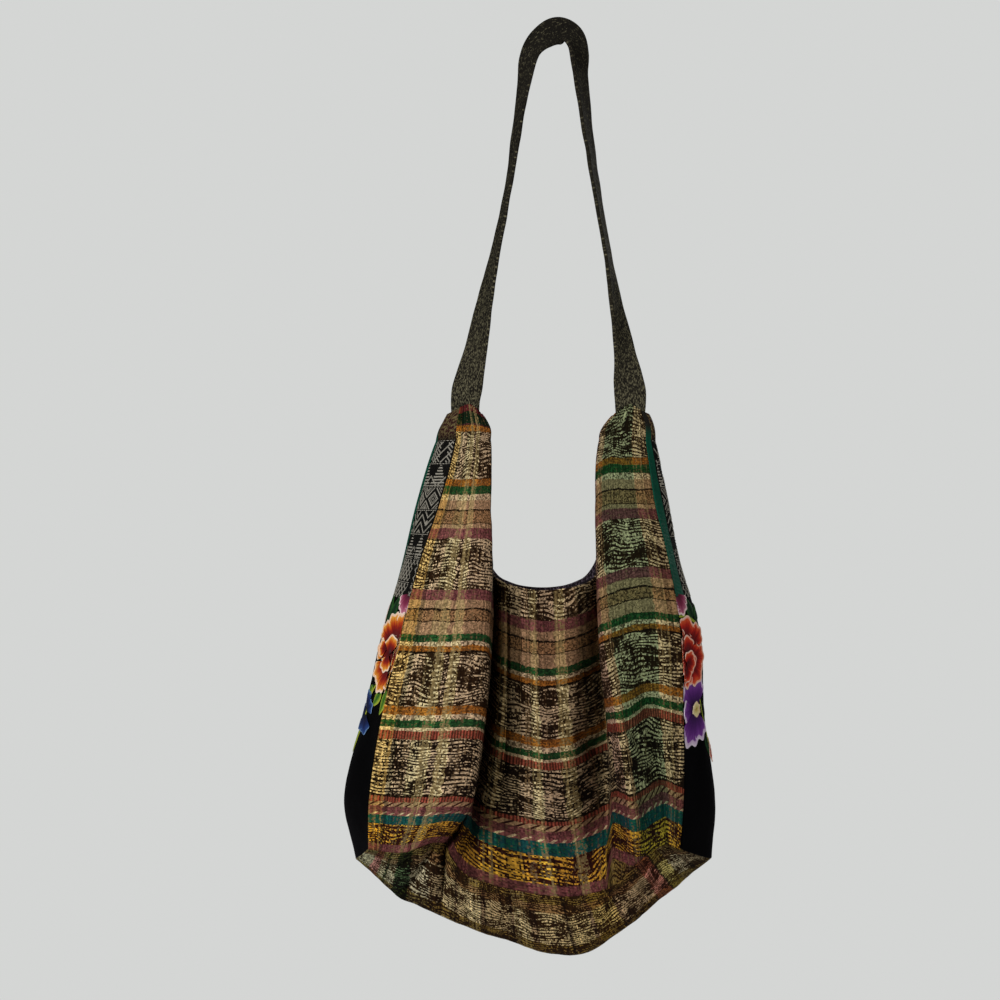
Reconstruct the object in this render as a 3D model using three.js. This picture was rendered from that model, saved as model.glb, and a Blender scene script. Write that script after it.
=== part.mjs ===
// A hobo bag of striped ikat cloth that hangs by its strap. The back hangs flat, the front falls in folds,
// the side gussets are brocade above velvet, and a boat-shaped base sags below them.
// Millimetres, +Z up, the front faces -Y. The origin is the point where the strap hangs.
import * as THREE from "three";

// Walls and gaps
const CLOTH = 1.5; // thickness of the body's cloth walls
const STRAP_THICK = 3.2; // the strap is cloth folded over and sewn flat
const SEAM_GAP = 1.1; // each of two pieces stops this far short of the seam line where they meet at an angle
const BUTT_GAP = 0.2; // the same where they lie edge to edge in one surface

// Grid of the walls
const ROWS_PER_LEVEL = 4; // rows of facets between two levels of the tables below
const COLUMNS_PER_FOLD = 4; // columns of facets between two fold lines of the front
const BACK_COLUMNS_PER_FOLD = 2;
const GUSSET_COLUMNS = 6;
const BASE_COLUMNS = 8; // from the front hem round the keel to the back hem
const STRAP_ROWS = 90;
const STRAP_COLUMNS = 2;
const RIBBON_COLUMNS = 2;
const HALVINGS = 30; // steps of the search for a curve's point at a given x

// Sizes that the tables leave out
const STRIP_BULGE = 6; // how far the flat strip beside the left front seam stands forward
const SHOULDER_BULGE = 1; // the same on its shoulder
const BACK_INSET = 5; // the back's shoulder edges lie this far outside the front's
const RIBBON_SHARE = 0.22; // part of a gusset's width that its ribbon takes
const NECK_LEVEL = 3; // the level whose row is the front and back neckline
const BROCADE_ROWS = 14; // rows from the top down to the seam between brocade and velvet
const RIBBON_FIRST_ROW = 2; // the ribbons come out of the shoulder seam this far down

// A row for each level, from the top of the shoulders to the hem. z is the height of the front seams. seam,
// side and back are the front seams, the outermost line of the gussets and the back seams. L and R are their x on
// the left and the right, and Y is their depth. A drop, further down, is how far below z the line lies.
const LEVELS = [
  { z: -307, seamL: -90, seamR: 74, seamY: -3.6,
    sideL: -94, sideR: 79, sideY: 0, backL: -92, backR: 77, backY: 3.6 },
  { z: -338, seamL: -85, seamR: 73, seamY: -18,
    sideL: -98, sideR: 82, sideY: -7, backL: -103, backR: 81, backY: 5 },
  { z: -388, seamL: -100, seamR: 78, seamY: -35,
    sideL: -112.5, sideR: 92, sideY: -13, backL: -119, backR: 90, backY: 7 },
  { z: -438, seamL: -113, seamR: 88, seamY: -48,
    sideL: -126, sideR: 101, sideY: -17, backL: -131, backR: 98, backY: 8 },
  { z: -500, seamL: -127, seamR: 95, seamY: -61,
    sideL: -146, sideR: 118, sideY: -21, backL: -146, backR: 108, backY: 9 },
  { z: -561, seamL: -141, seamR: 95, seamY: -72,
    sideL: -160, sideR: 120, sideY: -25, backL: -153, backR: 111, backY: 9 },
  { z: -623, seamL: -150, seamR: 94, seamY: -78,
    sideL: -177, sideR: 129, sideY: -26, backL: -166, backR: 119, backY: 9 },
  { z: -663, seamL: -151, seamR: 92, seamY: -74,
    sideL: -168, sideR: 127, sideY: -22, backL: -160, backR: 118, backY: 8 },
];
const SIDE_DROP = [0, 0, 0, 0, 0, 2, 10, 22];
const BACK_DROP = [0, 0, 0, 0, 0, 2, 8, 17];
const FRONT_SAG = [0, 0, 0, 24, 31, 33, 30, 35]; // how far the middle of the front hangs below its seams
const BACK_SAG = [0, 0, 0, 27, 25, 20, 16, 18];

// A row for each fold line of the front, from left to right. x and y hold one value for each level, from the
// neck down on the three lines that lie between the shoulders. sag is the line's share of the front's sag.
const FOLDS = [
  { fold: "left crest", sag: 0.05,
    x: [-63, -58, -57.6, -58, -60, -65, -75, -98], y: [-3.6, -20, -39, -56, -71, -84, -90, -78] },
  { fold: "left tuck", sag: 0.6, x: [-52, -53, -58, -69, -74], y: [-37, -42, -50, -58, -72] },
  { fold: "trough", sag: 1, x: [-15, -13, -10, -5, 5], y: [-34, -38, -46, -60, -80] },
  { fold: "right flank", sag: 0.7, x: [24, 27, 33, 40, 42], y: [-37, -42, -51, -66, -82] },
  { fold: "right ridge", sag: 0.2,
    x: [47, 36.5, 31.7, 33, 38, 47, 54, 58], y: [-3.6, -20, -38, -50, -63, -80, -90, -84] },
  { fold: "right groove", sag: -0.1,
    x: [61, 55, 55, 61, 68, 72, 80, 81], y: [-3.6, -21, -39, -55, -61, -59, -67, -74] },
];

const crest = FOLDS.find((row) => row.fold === "left crest");
const ridge = FOLDS.find((row) => row.fold === "right ridge");

// A row for each line of the back between its seams: where it lies between the shoulder edges, how far it
// waves backwards or forwards at the hem, and its share of the back's sag.
const BACK_LINES = [
  { line: "left edge", between: 0, wave: -3, sag: 0.45 },
  { line: "left third", between: 0.33, wave: 3, sag: 0.95 },
  { line: "right third", between: 0.67, wave: -2, sag: 0.95 },
  { line: "right edge", between: 1, wave: 2, sag: 0.45 },
];

// The base's fold from the left gusset to the right one
const KEEL = [
  { x: -168, y: -22, z: -685 },
  { x: -130, y: -42, z: -710 },
  { x: -60, y: -48, z: -738 },
  { x: 14, y: -50, z: -755 },
  { x: 50, y: -47, z: -736 },
  { x: 80, y: -42, z: -714 },
  { x: 127, y: -22, z: -685 },
];

// The strap's route from the left shoulder over the top to the right one. lean turns its outer face from
// sideways, 0 degrees, to the front, 90 degrees.
const STRAP = [
  { x: -78, z: -320, lean: 90, width: 24 },
  { x: -78, z: -302, lean: 90, width: 27 },
  { x: -70, z: -264, lean: 50, width: 30 },
  { x: -61, z: -217, lean: 28, width: 30 },
  { x: -52, z: -175, lean: 14, width: 30 },
  { x: -41, z: -120, lean: 10, width: 30 },
  { x: -32, z: -60, lean: 14, width: 30 },
  { x: -27, z: -30, lean: 22, width: 30 },
  { x: -22.5, z: -8, lean: 34, width: 31 },
  { x: -13, z: 5, lean: 54, width: 31 },
  { x: 0, z: 12, lean: 66, width: 31 },
  { x: 11.5, z: 9.5, lean: 54, width: 31 },
  { x: 17.5, z: -3, lean: 38, width: 31 },
  { x: 19.5, z: -22, lean: 29, width: 30 },
  { x: 25, z: -68, lean: 21, width: 30 },
  { x: 36, z: -140, lean: 15, width: 30 },
  { x: 44, z: -184, lean: 16, width: 30 },
  { x: 50, z: -220, lean: 26, width: 30 },
  { x: 57, z: -264, lean: 50, width: 30 },
  { x: 62, z: -302, lean: 90, width: 27 },
  { x: 62, z: -320, lean: 90, width: 24 },
];

const CLOTHS = {
  ikat: { color: 0x8c7a58, roughness: 0.95, metalness: 0 },
  brocade: { color: 0x34322f, roughness: 0.9, metalness: 0 },
  velvet: { color: 0x0b0a0c, roughness: 1, metalness: 0 },
  ribbon: { color: 0x0f5a44, roughness: 0.7, metalness: 0 },
  strap: { color: 0x3a322a, roughness: 0.95, metalness: 0 },
};

const LEVEL_ROWS = (LEVELS.length - 1) * ROWS_PER_LEVEL;

function smoothCurve(points) {
  return new THREE.CatmullRomCurve3(points, false, "centripetal");
}

// A line down the bag, from its x and y at each level and how far it lies below the level's height.
function lineDown(x, y, drop) {
  return smoothCurve(LEVELS.map((level, n) => new THREE.Vector3(x(n), y(n), level.z - drop(n))));
}

const leftSeam = lineDown((n) => LEVELS[n].seamL, (n) => LEVELS[n].seamY, () => 0);
const rightSeam = lineDown((n) => LEVELS[n].seamR, (n) => LEVELS[n].seamY, () => 0);
const leftSide = lineDown((n) => LEVELS[n].sideL, (n) => LEVELS[n].sideY, (n) => SIDE_DROP[n]);
const rightSide = lineDown((n) => LEVELS[n].sideR, (n) => LEVELS[n].sideY, (n) => SIDE_DROP[n]);
const leftBack = lineDown((n) => LEVELS[n].backL, (n) => LEVELS[n].backY, (n) => BACK_DROP[n]);
const rightBack = lineDown((n) => LEVELS[n].backR, (n) => LEVELS[n].backY, (n) => BACK_DROP[n]);

// The front's fold lines. Above the neck, where there is no cloth between the shoulders, the lines between
// the crest and the ridge only carry the shoulder strips on in a straight line.
function frontFoldLines() {
  return FOLDS.map((row) => {
    const first = LEVELS.length - row.x.length;
    const share = (row.x[0] - crest.x[first]) / (ridge.x[first] - crest.x[first]);
    const place = (key, n) =>
      n < first ? THREE.MathUtils.lerp(crest[key][n], ridge[key][n], share) : row[key][n - first];
    return lineDown((n) => place("x", n), (n) => place("y", n), (n) => row.sag * FRONT_SAG[n]);
  });
}

// The middle of the flat strip between the left seam and the crest
function leftStripLine() {
  const bulge = (n) => (n < NECK_LEVEL ? SHOULDER_BULGE : STRIP_BULGE);
  return lineDown(
    (n) => (LEVELS[n].seamL + crest.x[n]) / 2,
    (n) => (LEVELS[n].seamY + crest.y[n]) / 2 - bulge(n),
    () => 0,
  );
}

// The back's lines, straight down from its shoulder edges and waving more towards the hem
function backLines() {
  const lastLevel = LEVELS.length - 1;
  return BACK_LINES.map((row) => {
    const x = (n) => {
      const level = Math.min(n, NECK_LEVEL);
      return THREE.MathUtils.lerp(crest.x[level] - BACK_INSET, ridge.x[level] + BACK_INSET, row.between);
    };
    const y = (n) => LEVELS[n].backY + row.wave * THREE.MathUtils.smoothstep(n, 1, lastLevel);
    return lineDown(x, y, (n) => BACK_DROP[n] + row.sag * BACK_SAG[n]);
  });
}

// Points of a wall: a row for each step down the lines, and in it a point for each step across them.
function gridAcross(lines, columnsPerLine, firstRow, lastRow) {
  const columns = (lines.length - 1) * columnsPerLine;
  const grid = [];
  for (let row = firstRow; row <= lastRow; row += 1) {
    const across = smoothCurve(lines.map((line) => line.getPoint(row / LEVEL_ROWS)));
    grid.push(across.getPoints(columns));
  }
  return grid;
}

// Moves the edges of a grid back along its own lines, by the lengths given for the named edges.
function cutBack(grid, { left = 0, right = 0, top = 0, bottom = 0 }) {
  const last = grid.length - 1;
  const end = grid[0].length - 1;
  const step = (from, to, length) => from.clone().add(to.clone().sub(from).setLength(length));
  const narrowed = grid.map((row) =>
    row.map((point, i) => {
      if (i === 0 && left) return step(point, row[1], left);
      if (i === end && right) return step(point, row[end - 1], right);
      return point.clone();
    }),
  );
  return narrowed.map((row, j) =>
    row.map((point, i) => {
      if (j === 0 && top) return step(point, narrowed[1][i], top);
      if (j === last && bottom) return step(point, narrowed[last - 1][i], bottom);
      return point;
    }),
  );
}

// A wall of cloth: half its thickness to each side of a grid of points, closed round every edge. Cells that
// hasCloth refuses are left open.
function clothWall(grid, thickness, hasCloth = () => true) {
  const rows = grid.length - 1;
  const columns = grid[0].length - 1;
  const positions = [];
  for (let j = 0; j <= rows; j += 1) {
    for (let i = 0; i <= columns; i += 1) {
      const across = grid[j][Math.min(i + 1, columns)].clone().sub(grid[j][Math.max(i - 1, 0)]);
      const down = grid[Math.min(j + 1, rows)][i].clone().sub(grid[Math.max(j - 1, 0)][i]);
      const normal = across.cross(down).setLength(thickness / 2);
      positions.push(...grid[j][i].clone().add(normal).toArray());
      positions.push(...grid[j][i].clone().sub(normal).toArray());
    }
  }
  const corner = (i, j, side) => 2 * (j * (columns + 1) + i) + side;
  const filled = (i, j) => i >= 0 && j >= 0 && i < columns && j < rows && hasCloth(i, j);
  const indices = [];
  const quad = (a, b, c, d) => indices.push(a, b, c, a, c, d);
  for (let j = 0; j < rows; j += 1) {
    for (let i = 0; i < columns; i += 1) {
      if (!filled(i, j)) continue;
      const ring = [[i, j], [i + 1, j], [i + 1, j + 1], [i, j + 1]];
      const beyond = [[i, j - 1], [i + 1, j], [i, j + 1], [i - 1, j]];
      const [a, b, c, d] = ring.map(([p, q]) => corner(p, q, 0));
      quad(a, b, c, d);
      quad(d + 1, c + 1, b + 1, a + 1);
      beyond.forEach(([p, q], edge) => {
        if (filled(p, q)) return;
        const from = corner(...ring[edge], 0);
        const to = corner(...ring[(edge + 1) % 4], 0);
        quad(to, from, from + 1, to + 1);
      });
    }
  }
  const geometry = new THREE.BufferGeometry();
  geometry.setAttribute("position", new THREE.Float32BufferAttribute(positions, 3));
  geometry.setIndex(indices);
  geometry.computeVertexNormals();
  return geometry;
}

const bag = new THREE.Group();

function addPiece(name, cloth, geometry) {
  const mesh = new THREE.Mesh(geometry, new THREE.MeshStandardMaterial(CLOTHS[cloth]));
  mesh.name = name;
  bag.add(mesh);
}

// Front panel: two shoulder strips and, below the neckline, the folded front
const strip = leftStripLine();
const folds = frontFoldLines();
const frontLines = [leftSeam, strip, ...folds, rightSeam];
const neckRow = NECK_LEVEL * ROWS_PER_LEVEL;
const frontNeck = {
  first: frontLines.indexOf(folds[FOLDS.indexOf(crest)]) * COLUMNS_PER_FOLD,
  last: frontLines.indexOf(folds[FOLDS.indexOf(ridge)]) * COLUMNS_PER_FOLD,
};
const frontGrid = gridAcross(frontLines, COLUMNS_PER_FOLD, 0, LEVEL_ROWS);
addPiece(
  "front_panel",
  "ikat",
  clothWall(
    cutBack(frontGrid, { left: SEAM_GAP, right: SEAM_GAP, bottom: SEAM_GAP }),
    CLOTH,
    (i, j) => j >= neckRow || i < frontNeck.first || i >= frontNeck.last,
  ),
);

// Back panel: the same cut, hanging flat
const backs = backLines();
const allBackLines = [rightBack, ...backs.toReversed(), leftBack];
const backNeck = { first: BACK_COLUMNS_PER_FOLD, last: (allBackLines.length - 2) * BACK_COLUMNS_PER_FOLD };
const backGrid = gridAcross(allBackLines, BACK_COLUMNS_PER_FOLD, 0, LEVEL_ROWS);
addPiece(
  "back_panel",
  "ikat",
  clothWall(
    cutBack(backGrid, { left: SEAM_GAP, right: SEAM_GAP, bottom: SEAM_GAP }),
    CLOTH,
    (i, j) => j >= neckRow || i < backNeck.first || i >= backNeck.last,
  ),
);

// Gussets: a brocade piece with a ribbon along one edge, and a velvet piece below them. A span is the part of
// the gusset's width that a piece takes, from 0 at the front seam to 1 at the back seam.
function addGusset(side, lines, ribbonSpan, brocadeSpan) {
  const part = ([from, to], firstRow, lastRow, columns) => {
    const grid = [];
    for (let row = firstRow; row <= lastRow; row += 1) {
      const across = smoothCurve(lines.map((line) => line.getPoint(row / LEVEL_ROWS)));
      const step = (to - from) / columns;
      grid.push(Array.from({ length: columns + 1 }, (_, i) => across.getPoint(from + i * step)));
    }
    return grid;
  };
  const sideGaps = ([from, to]) => ({
    left: from === 0 ? SEAM_GAP : BUTT_GAP,
    right: to === 1 ? SEAM_GAP : BUTT_GAP,
  });
  const ribbon = part(ribbonSpan, RIBBON_FIRST_ROW, BROCADE_ROWS, RIBBON_COLUMNS);
  const brocade = part(brocadeSpan, 0, BROCADE_ROWS, GUSSET_COLUMNS);
  const velvet = part([0, 1], BROCADE_ROWS, LEVEL_ROWS, GUSSET_COLUMNS);
  const ribbonEdges = { ...sideGaps(ribbonSpan), bottom: BUTT_GAP };
  const brocadeEdges = { ...sideGaps(brocadeSpan), bottom: BUTT_GAP };
  const velvetEdges = { ...sideGaps([0, 1]), top: BUTT_GAP, bottom: SEAM_GAP };
  addPiece(`${side}_ribbon`, "ribbon", clothWall(cutBack(ribbon, ribbonEdges), CLOTH));
  addPiece(`${side}_brocade`, "brocade", clothWall(cutBack(brocade, brocadeEdges), CLOTH));
  addPiece(`${side}_velvet`, "velvet", clothWall(cutBack(velvet, velvetEdges), CLOTH));
}

// Both brocades are cut the same way round: the ribbon is at the back on the left, at the front on the right.
addGusset("left", [leftSeam, leftSide, leftBack], [1 - RIBBON_SHARE, 1], [0, 1 - RIBBON_SHARE]);
addGusset("right", [rightSeam, rightSide, rightBack], [0, RIBBON_SHARE], [RIBBON_SHARE, 1]);

// Base: from the front hem down to the keel and up to the back hem, ending at the gussets' lower edges
function baseGrid() {
  const frontHem = frontGrid.at(-1);
  const backHem = smoothCurve(allBackLines.toReversed().map((line) => line.getPoint(1)));
  const keel = smoothCurve(KEEL.map((row) => new THREE.Vector3(row.x, row.y, row.z)));
  const start = frontHem[0].x;
  const span = frontHem.at(-1).x - start;
  // The point of a curve that lies at a share of its reach in x
  const atShare = (curve, share) => {
    const from = curve.getPoint(0).x;
    const wanted = from + share * (curve.getPoint(1).x - from);
    let low = 0;
    let high = 1;
    for (let n = 0; n < HALVINGS; n += 1) {
      const middle = (low + high) / 2;
      if (curve.getPoint(middle).x < wanted) low = middle;
      else high = middle;
    }
    return curve.getPoint(low);
  };
  const sections = frontHem.map((point) => {
    const share = (point.x - start) / span;
    return smoothCurve([point, atShare(keel, share), atShare(backHem, share)]).getPoints(BASE_COLUMNS);
  });
  return Array.from({ length: BASE_COLUMNS + 1 }, (_, j) => sections.map((section) => section[j]));
}
const baseEdges = { left: SEAM_GAP, right: SEAM_GAP, top: SEAM_GAP, bottom: SEAM_GAP };
addPiece("base_panel", "ikat", clothWall(cutBack(baseGrid(), baseEdges), CLOTH));

// Strap: a flat band along its route, whose ends are sewn in between the front and back shoulders
function strapGrid() {
  const route = smoothCurve(STRAP.map((row) => new THREE.Vector3(row.x, 0, row.z)));
  const turns = smoothCurve(STRAP.map((row, n) => new THREE.Vector3(n, row.lean, row.width)));
  const grid = [];
  for (let row = 0; row <= STRAP_ROWS; row += 1) {
    const at = route.getUtoTmapping(row / STRAP_ROWS);
    const centre = route.getPoint(at);
    const along = route.getTangent(at);
    const { y: lean, z: width } = turns.getPoint(at);
    const angle = THREE.MathUtils.degToRad(lean);
    const outward = new THREE.Vector3(-along.z, 0, along.x);
    const towardsBack = new THREE.Vector3(0, 1, 0);
    const across = towardsBack.multiplyScalar(Math.cos(angle)).addScaledVector(outward, Math.sin(angle));
    const points = [];
    for (let column = 0; column <= STRAP_COLUMNS; column += 1) {
      const offset = (column / STRAP_COLUMNS - 0.5) * width;
      points.push(centre.clone().addScaledVector(across, offset));
    }
    grid.push(points);
  }
  return grid;
}
addPiece("strap", "strap", clothWall(strapGrid(), STRAP_THICK));

export default bag;
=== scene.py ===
# %% [markdown]
# # An embroidered hobo bag
# A soft shoulder bag of hand-woven ikat cloth hangs by its strap. Its back hangs flat and its front
# falls in folds. The sides are brocade above black velvet with embroidered flowers, and a boat-shaped
# base sags below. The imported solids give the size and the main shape, and this lesson dresses them
# piece by piece.

# %% Load the frame
import math
import random
from collections import namedtuple

import bmesh
import bpy
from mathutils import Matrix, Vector, noise


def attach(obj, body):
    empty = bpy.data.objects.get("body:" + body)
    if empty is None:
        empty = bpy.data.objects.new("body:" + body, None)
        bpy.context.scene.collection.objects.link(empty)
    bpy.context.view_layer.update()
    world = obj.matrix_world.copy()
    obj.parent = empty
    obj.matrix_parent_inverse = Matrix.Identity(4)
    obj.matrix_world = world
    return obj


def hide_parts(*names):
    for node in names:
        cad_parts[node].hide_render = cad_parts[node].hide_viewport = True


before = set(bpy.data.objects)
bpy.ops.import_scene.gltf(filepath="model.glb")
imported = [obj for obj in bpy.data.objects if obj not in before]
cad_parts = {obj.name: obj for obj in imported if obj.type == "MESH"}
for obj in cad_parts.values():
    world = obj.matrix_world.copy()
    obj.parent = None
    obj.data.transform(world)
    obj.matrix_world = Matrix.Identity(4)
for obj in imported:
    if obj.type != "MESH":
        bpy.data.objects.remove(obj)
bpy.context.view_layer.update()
print("frame nodes:", sorted(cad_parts))

# %% [markdown]
# ## Camera
# The camera comes first, because every later step is judged through it. The bag is seen straight from
# the front and the camera stands level with the middle of the picture, so the top of the strap is seen
# from below. A lens of 41 mm at a distance of one metre gives the same depth to the folds.

# %% Camera
MM = 0.001
CAMERA_PLACE = Vector((-48.6, -980.0, -387.7)) * MM
LENS_MM = 41.4
SENSOR_MM = 36.0

scene = bpy.context.scene
scene.view_settings.view_transform = "Standard"
camera = bpy.data.objects.new("camera", bpy.data.cameras.new("camera"))
camera.data.lens = LENS_MM
camera.data.sensor_width = SENSOR_MM
camera.data.clip_start = 0.05
camera.location = CAMERA_PLACE
camera.rotation_euler = (math.radians(90), 0, 0)
scene.collection.objects.link(camera)
scene.camera = camera
print("camera", LENS_MM, "mm at", [round(x, 3) for x in CAMERA_PLACE])

# %% [markdown]
# ## Floor and light
# A plain pale floor lies well below the hanging bag, and the background is the pale world itself. Cloth
# shows its weave and folds in soft light that comes mostly from one side: a key light from the upper
# left, a weaker fill from the right, and one behind the bag so that its back isn't lost in shade.

# %% Lights and background
BAG_MIDDLE = Vector((-0.03, -0.03, -0.45))
BACKGROUND = (0.66, 0.67, 0.66, 1.0)
AMBIENT_STRENGTH = 0.1
Light = namedtuple("Light", "name place size watts")
LIGHTS = [
    Light("key", (-1.05, -1.4, 0.2), 0.5, 27),
    Light("fill", (1.3, -1.3, 0.2), 0.6, 12),
    Light("back", (0.5, 1.7, 0.4), 1.2, 20),
]


def link(name, data):
    """A new object at the origin, in the scene."""
    thing = bpy.data.objects.new(name, data)
    scene.collection.objects.link(thing)
    return thing


for light in LIGHTS:
    lamp = bpy.data.lights.new(light.name, "AREA")
    lamp.size = light.size
    lamp.energy = light.watts
    thing = link(light.name, lamp)
    thing.location = light.place
    thing.rotation_euler = (BAG_MIDDLE - Vector(light.place)).to_track_quat("-Z", "Y").to_euler()

world = bpy.data.worlds.new("studio")
world.use_nodes = True
scene.world = world
sky = world.node_tree.nodes["Background"]
sky.inputs["Color"].default_value = BACKGROUND
seen = world.node_tree.nodes.new("ShaderNodeLightPath").outputs["Is Camera Ray"]
strength = world.node_tree.nodes.new("ShaderNodeMapRange")
strength.inputs["To Min"].default_value = AMBIENT_STRENGTH
strength.inputs["To Max"].default_value = 1.0
world.node_tree.links.new(seen, strength.inputs["Value"])
world.node_tree.links.new(strength.outputs["Result"], sky.inputs["Strength"])
print(len(LIGHTS), "lights")

# %% Floor
FLOOR_HEIGHT = -1.6
FLOOR_RADIUS = 1.45


def sewn(name, mesh_data, materials):
    """The finished bmesh as an object with its materials."""
    mesh = bpy.data.meshes.new(name)
    mesh_data.to_mesh(mesh)
    mesh_data.free()
    for material in materials:
        mesh.materials.append(material)
    return link(name, mesh)


disc = bmesh.new()
bmesh.ops.create_circle(disc, cap_ends=True, segments=96, radius=FLOOR_RADIUS)
bmesh.ops.translate(disc, verts=disc.verts, vec=(0, 0, FLOOR_HEIGHT))
floor = sewn("floor", disc, [])
print("floor at", FLOOR_HEIGHT, "m")

# %% [markdown]
# ## Finishes as recipes
# Every cloth here needs a node tree: threads, stripes and figures that follow the cloth and not the
# room. Three small classes keep the trees short. A Value is a number that the shader works out at every
# point, so that a recipe can add and multiply it like any other number. A Wiring adds nodes to a
# material and joins them, and a Finish is a Wiring that knows threads, noise and colours. A place times
# a number is so many threads or lumps to the metre. Colours are written as the eye reads them and
# turned into the linear values that shaders use.

# %% Colours and values


def tint(red, green, blue):
    """A colour of 0 to 255 as the linear colour that a shader takes, by the sRGB formula."""
    shares = [c / 255 for c in (red, green, blue)]
    return (*[((s + 0.055) / 1.055) ** 2.4 if s > 0.04 else s / 12.92 for s in shares], 1.0)


class Value:
    """A number that a shader works out at every point. Arithmetic on it adds math nodes."""

    def __init__(self, finish, socket):
        self.finish = finish
        self.socket = socket

    def __add__(self, other):
        return self.finish.math("ADD", self, other)

    def __sub__(self, other):
        return self.finish.math("SUBTRACT", self, other)

    def __mul__(self, other):
        return self.finish.math("MULTIPLY", self, other)

    def __truediv__(self, other):
        return self.finish.math("DIVIDE", self, other)

    def floor(self):
        return self.finish.math("FLOOR", self)


print("mid grey is", round(tint(128, 128, 128)[0], 3), "in a shader")

# %% Wiring


class Wiring:
    """A material whose nodes are added and wired by plain calls."""

    def __init__(self, name, roughness, specular=0.2, sheen=0.0):
        self.material = bpy.data.materials.new(name)
        self.material.use_nodes = True
        self.tree = self.material.node_tree
        self.shader = self.tree.nodes["Principled BSDF"]
        self.shader.inputs["Roughness"].default_value = roughness
        self.shader.inputs["Specular IOR Level"].default_value = specular
        self.shader.inputs["Sheen Weight"].default_value = sheen

    def put(self, socket, value):
        """Wires a value to a socket, or sets it there."""
        source = value.socket if isinstance(value, Value) else value
        if isinstance(source, bpy.types.NodeSocket):
            self.tree.links.new(source, socket)
        else:
            socket.default_value = source

    def node(self, kind, settings, inputs):
        node = self.tree.nodes.new(kind)
        for name, value in settings.items():
            setattr(node, name, value)
        for name, value in inputs.items():
            self.put(node.inputs[name], value)
        return node

    def number(self, kind, settings, inputs, output):
        return Value(self, self.node(kind, settings, inputs).outputs[output])

    def math(self, operation, *values):
        node = self.node("ShaderNodeMath", {"operation": operation}, {})
        for socket, value in zip(node.inputs, values):
            self.put(socket, value)
        return Value(self, node.outputs[0])

    def split(self, vector):
        """The first, second and third number of a vector or colour."""
        node = self.node("ShaderNodeSeparateXYZ", {}, {"Vector": vector})
        return [Value(self, socket) for socket in node.outputs]

    def join(self, x, y, z=0.0):
        return self.node("ShaderNodeCombineXYZ", {}, {"X": x, "Y": y, "Z": z}).outputs["Vector"]


print("wiring ready")

# %% Finishes


class Finish(Wiring):
    """A material made of threads, noise and colours."""

    def cloth_place(self):
        """Where a point lies in the flat cloth: metres across and metres down."""
        uv = self.node("ShaderNodeUVMap", {"uv_map": "cloth"}, {})
        return self.split(uv.outputs["UV"])[:2]

    def between(self, value, low, high):
        """0 up to low and 1 from high on, with a soft step between them."""
        inputs = {"Value": value, "From Min": low, "From Max": high}
        return self.number("ShaderNodeMapRange", {"interpolation_type": "SMOOTHSTEP"}, inputs, "Result")

    def spread(self, value, low, high):
        """A value of 0 to 1 spread between low and high."""
        inputs = {"Value": value, "To Min": low, "To Max": high}
        return self.number("ShaderNodeMapRange", {}, inputs, "Result")

    def mix(self, share, first, second, blend="MIX"):
        node = self.node("ShaderNodeMix", {"data_type": "RGBA", "blend_type": blend}, {})
        for index, value in ((0, share), (6, first), (7, second)):
            self.put(node.inputs[index], value)
        return node.outputs[2]

    def times(self, first, second):
        """One colour times another."""
        return self.mix(1.0, first, second, "MULTIPLY")

    def steps(self, position, stops):
        """The colour and the alpha of the last stop that a position of 0 to 1 has passed."""
        node = self.node("ShaderNodeValToRGB", {}, {"Fac": position})
        node.color_ramp.interpolation = "CONSTANT"
        elements = node.color_ramp.elements
        elements.remove(elements[1])
        elements[0].position, elements[0].color = stops[0]
        for place, colour in stops[1:]:
            elements.new(place).color = colour
        return node.outputs["Color"], Value(self, node.outputs["Alpha"])

    def noise(self, x, y, detail=0.0):
        """Smooth noise of 0 to 1, with one lump for each unit of x and y."""
        inputs = {"Vector": self.join(x, y), "Scale": 1.0, "Detail": detail}
        return self.number("ShaderNodeTexNoise", {"noise_dimensions": "2D"}, inputs, "Fac")

    def speckle(self, lumps, detail):
        """Smooth noise of 0 to 1 in the piece's own space, with so many lumps to the metre."""
        place = self.node("ShaderNodeTexCoord", {}, {}).outputs["Object"]
        inputs = {"Vector": place, "Scale": lumps, "Detail": detail}
        return self.number("ShaderNodeTexNoise", {}, inputs, "Fac")

    def dice(self, number, salt):
        """A number of 0 to 1 thrown once for each whole number. The salt sets two such throws apart."""
        settings = {"noise_dimensions": "1D"}
        return self.number("ShaderNodeTexWhiteNoise", settings, {"W": number + salt}, "Value")

    def crossing(self, column, row):
        """A number of 0 to 1 thrown once for each crossing of two threads."""
        inputs = {"Vector": self.join(column, row)}
        return self.number("ShaderNodeTexWhiteNoise", {"noise_dimensions": "2D"}, inputs, "Value")

    def wave(self, place, pitch):
        """1 on the middle of each thread and 0 between two threads."""
        return self.math("SINE", place * (2 * math.pi / pitch)) * 0.5 + 0.5

    def bump(self, height, depth):
        node = self.node("ShaderNodeBump", {}, {"Height": height, "Distance": depth, "Strength": 1.0})
        self.put(self.shader.inputs["Normal"], node.outputs["Normal"])

    def colour(self, value):
        self.put(self.shader.inputs["Base Color"], value)
        return self.material


paper = Finish("pale_floor", roughness=0.8)
grain = paper.speckle(30.0, detail=3.0)
floor.data.materials.append(paper.colour(paper.mix(grain, tint(226, 226, 223), tint(236, 236, 233))))
print("floor finished")
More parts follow.
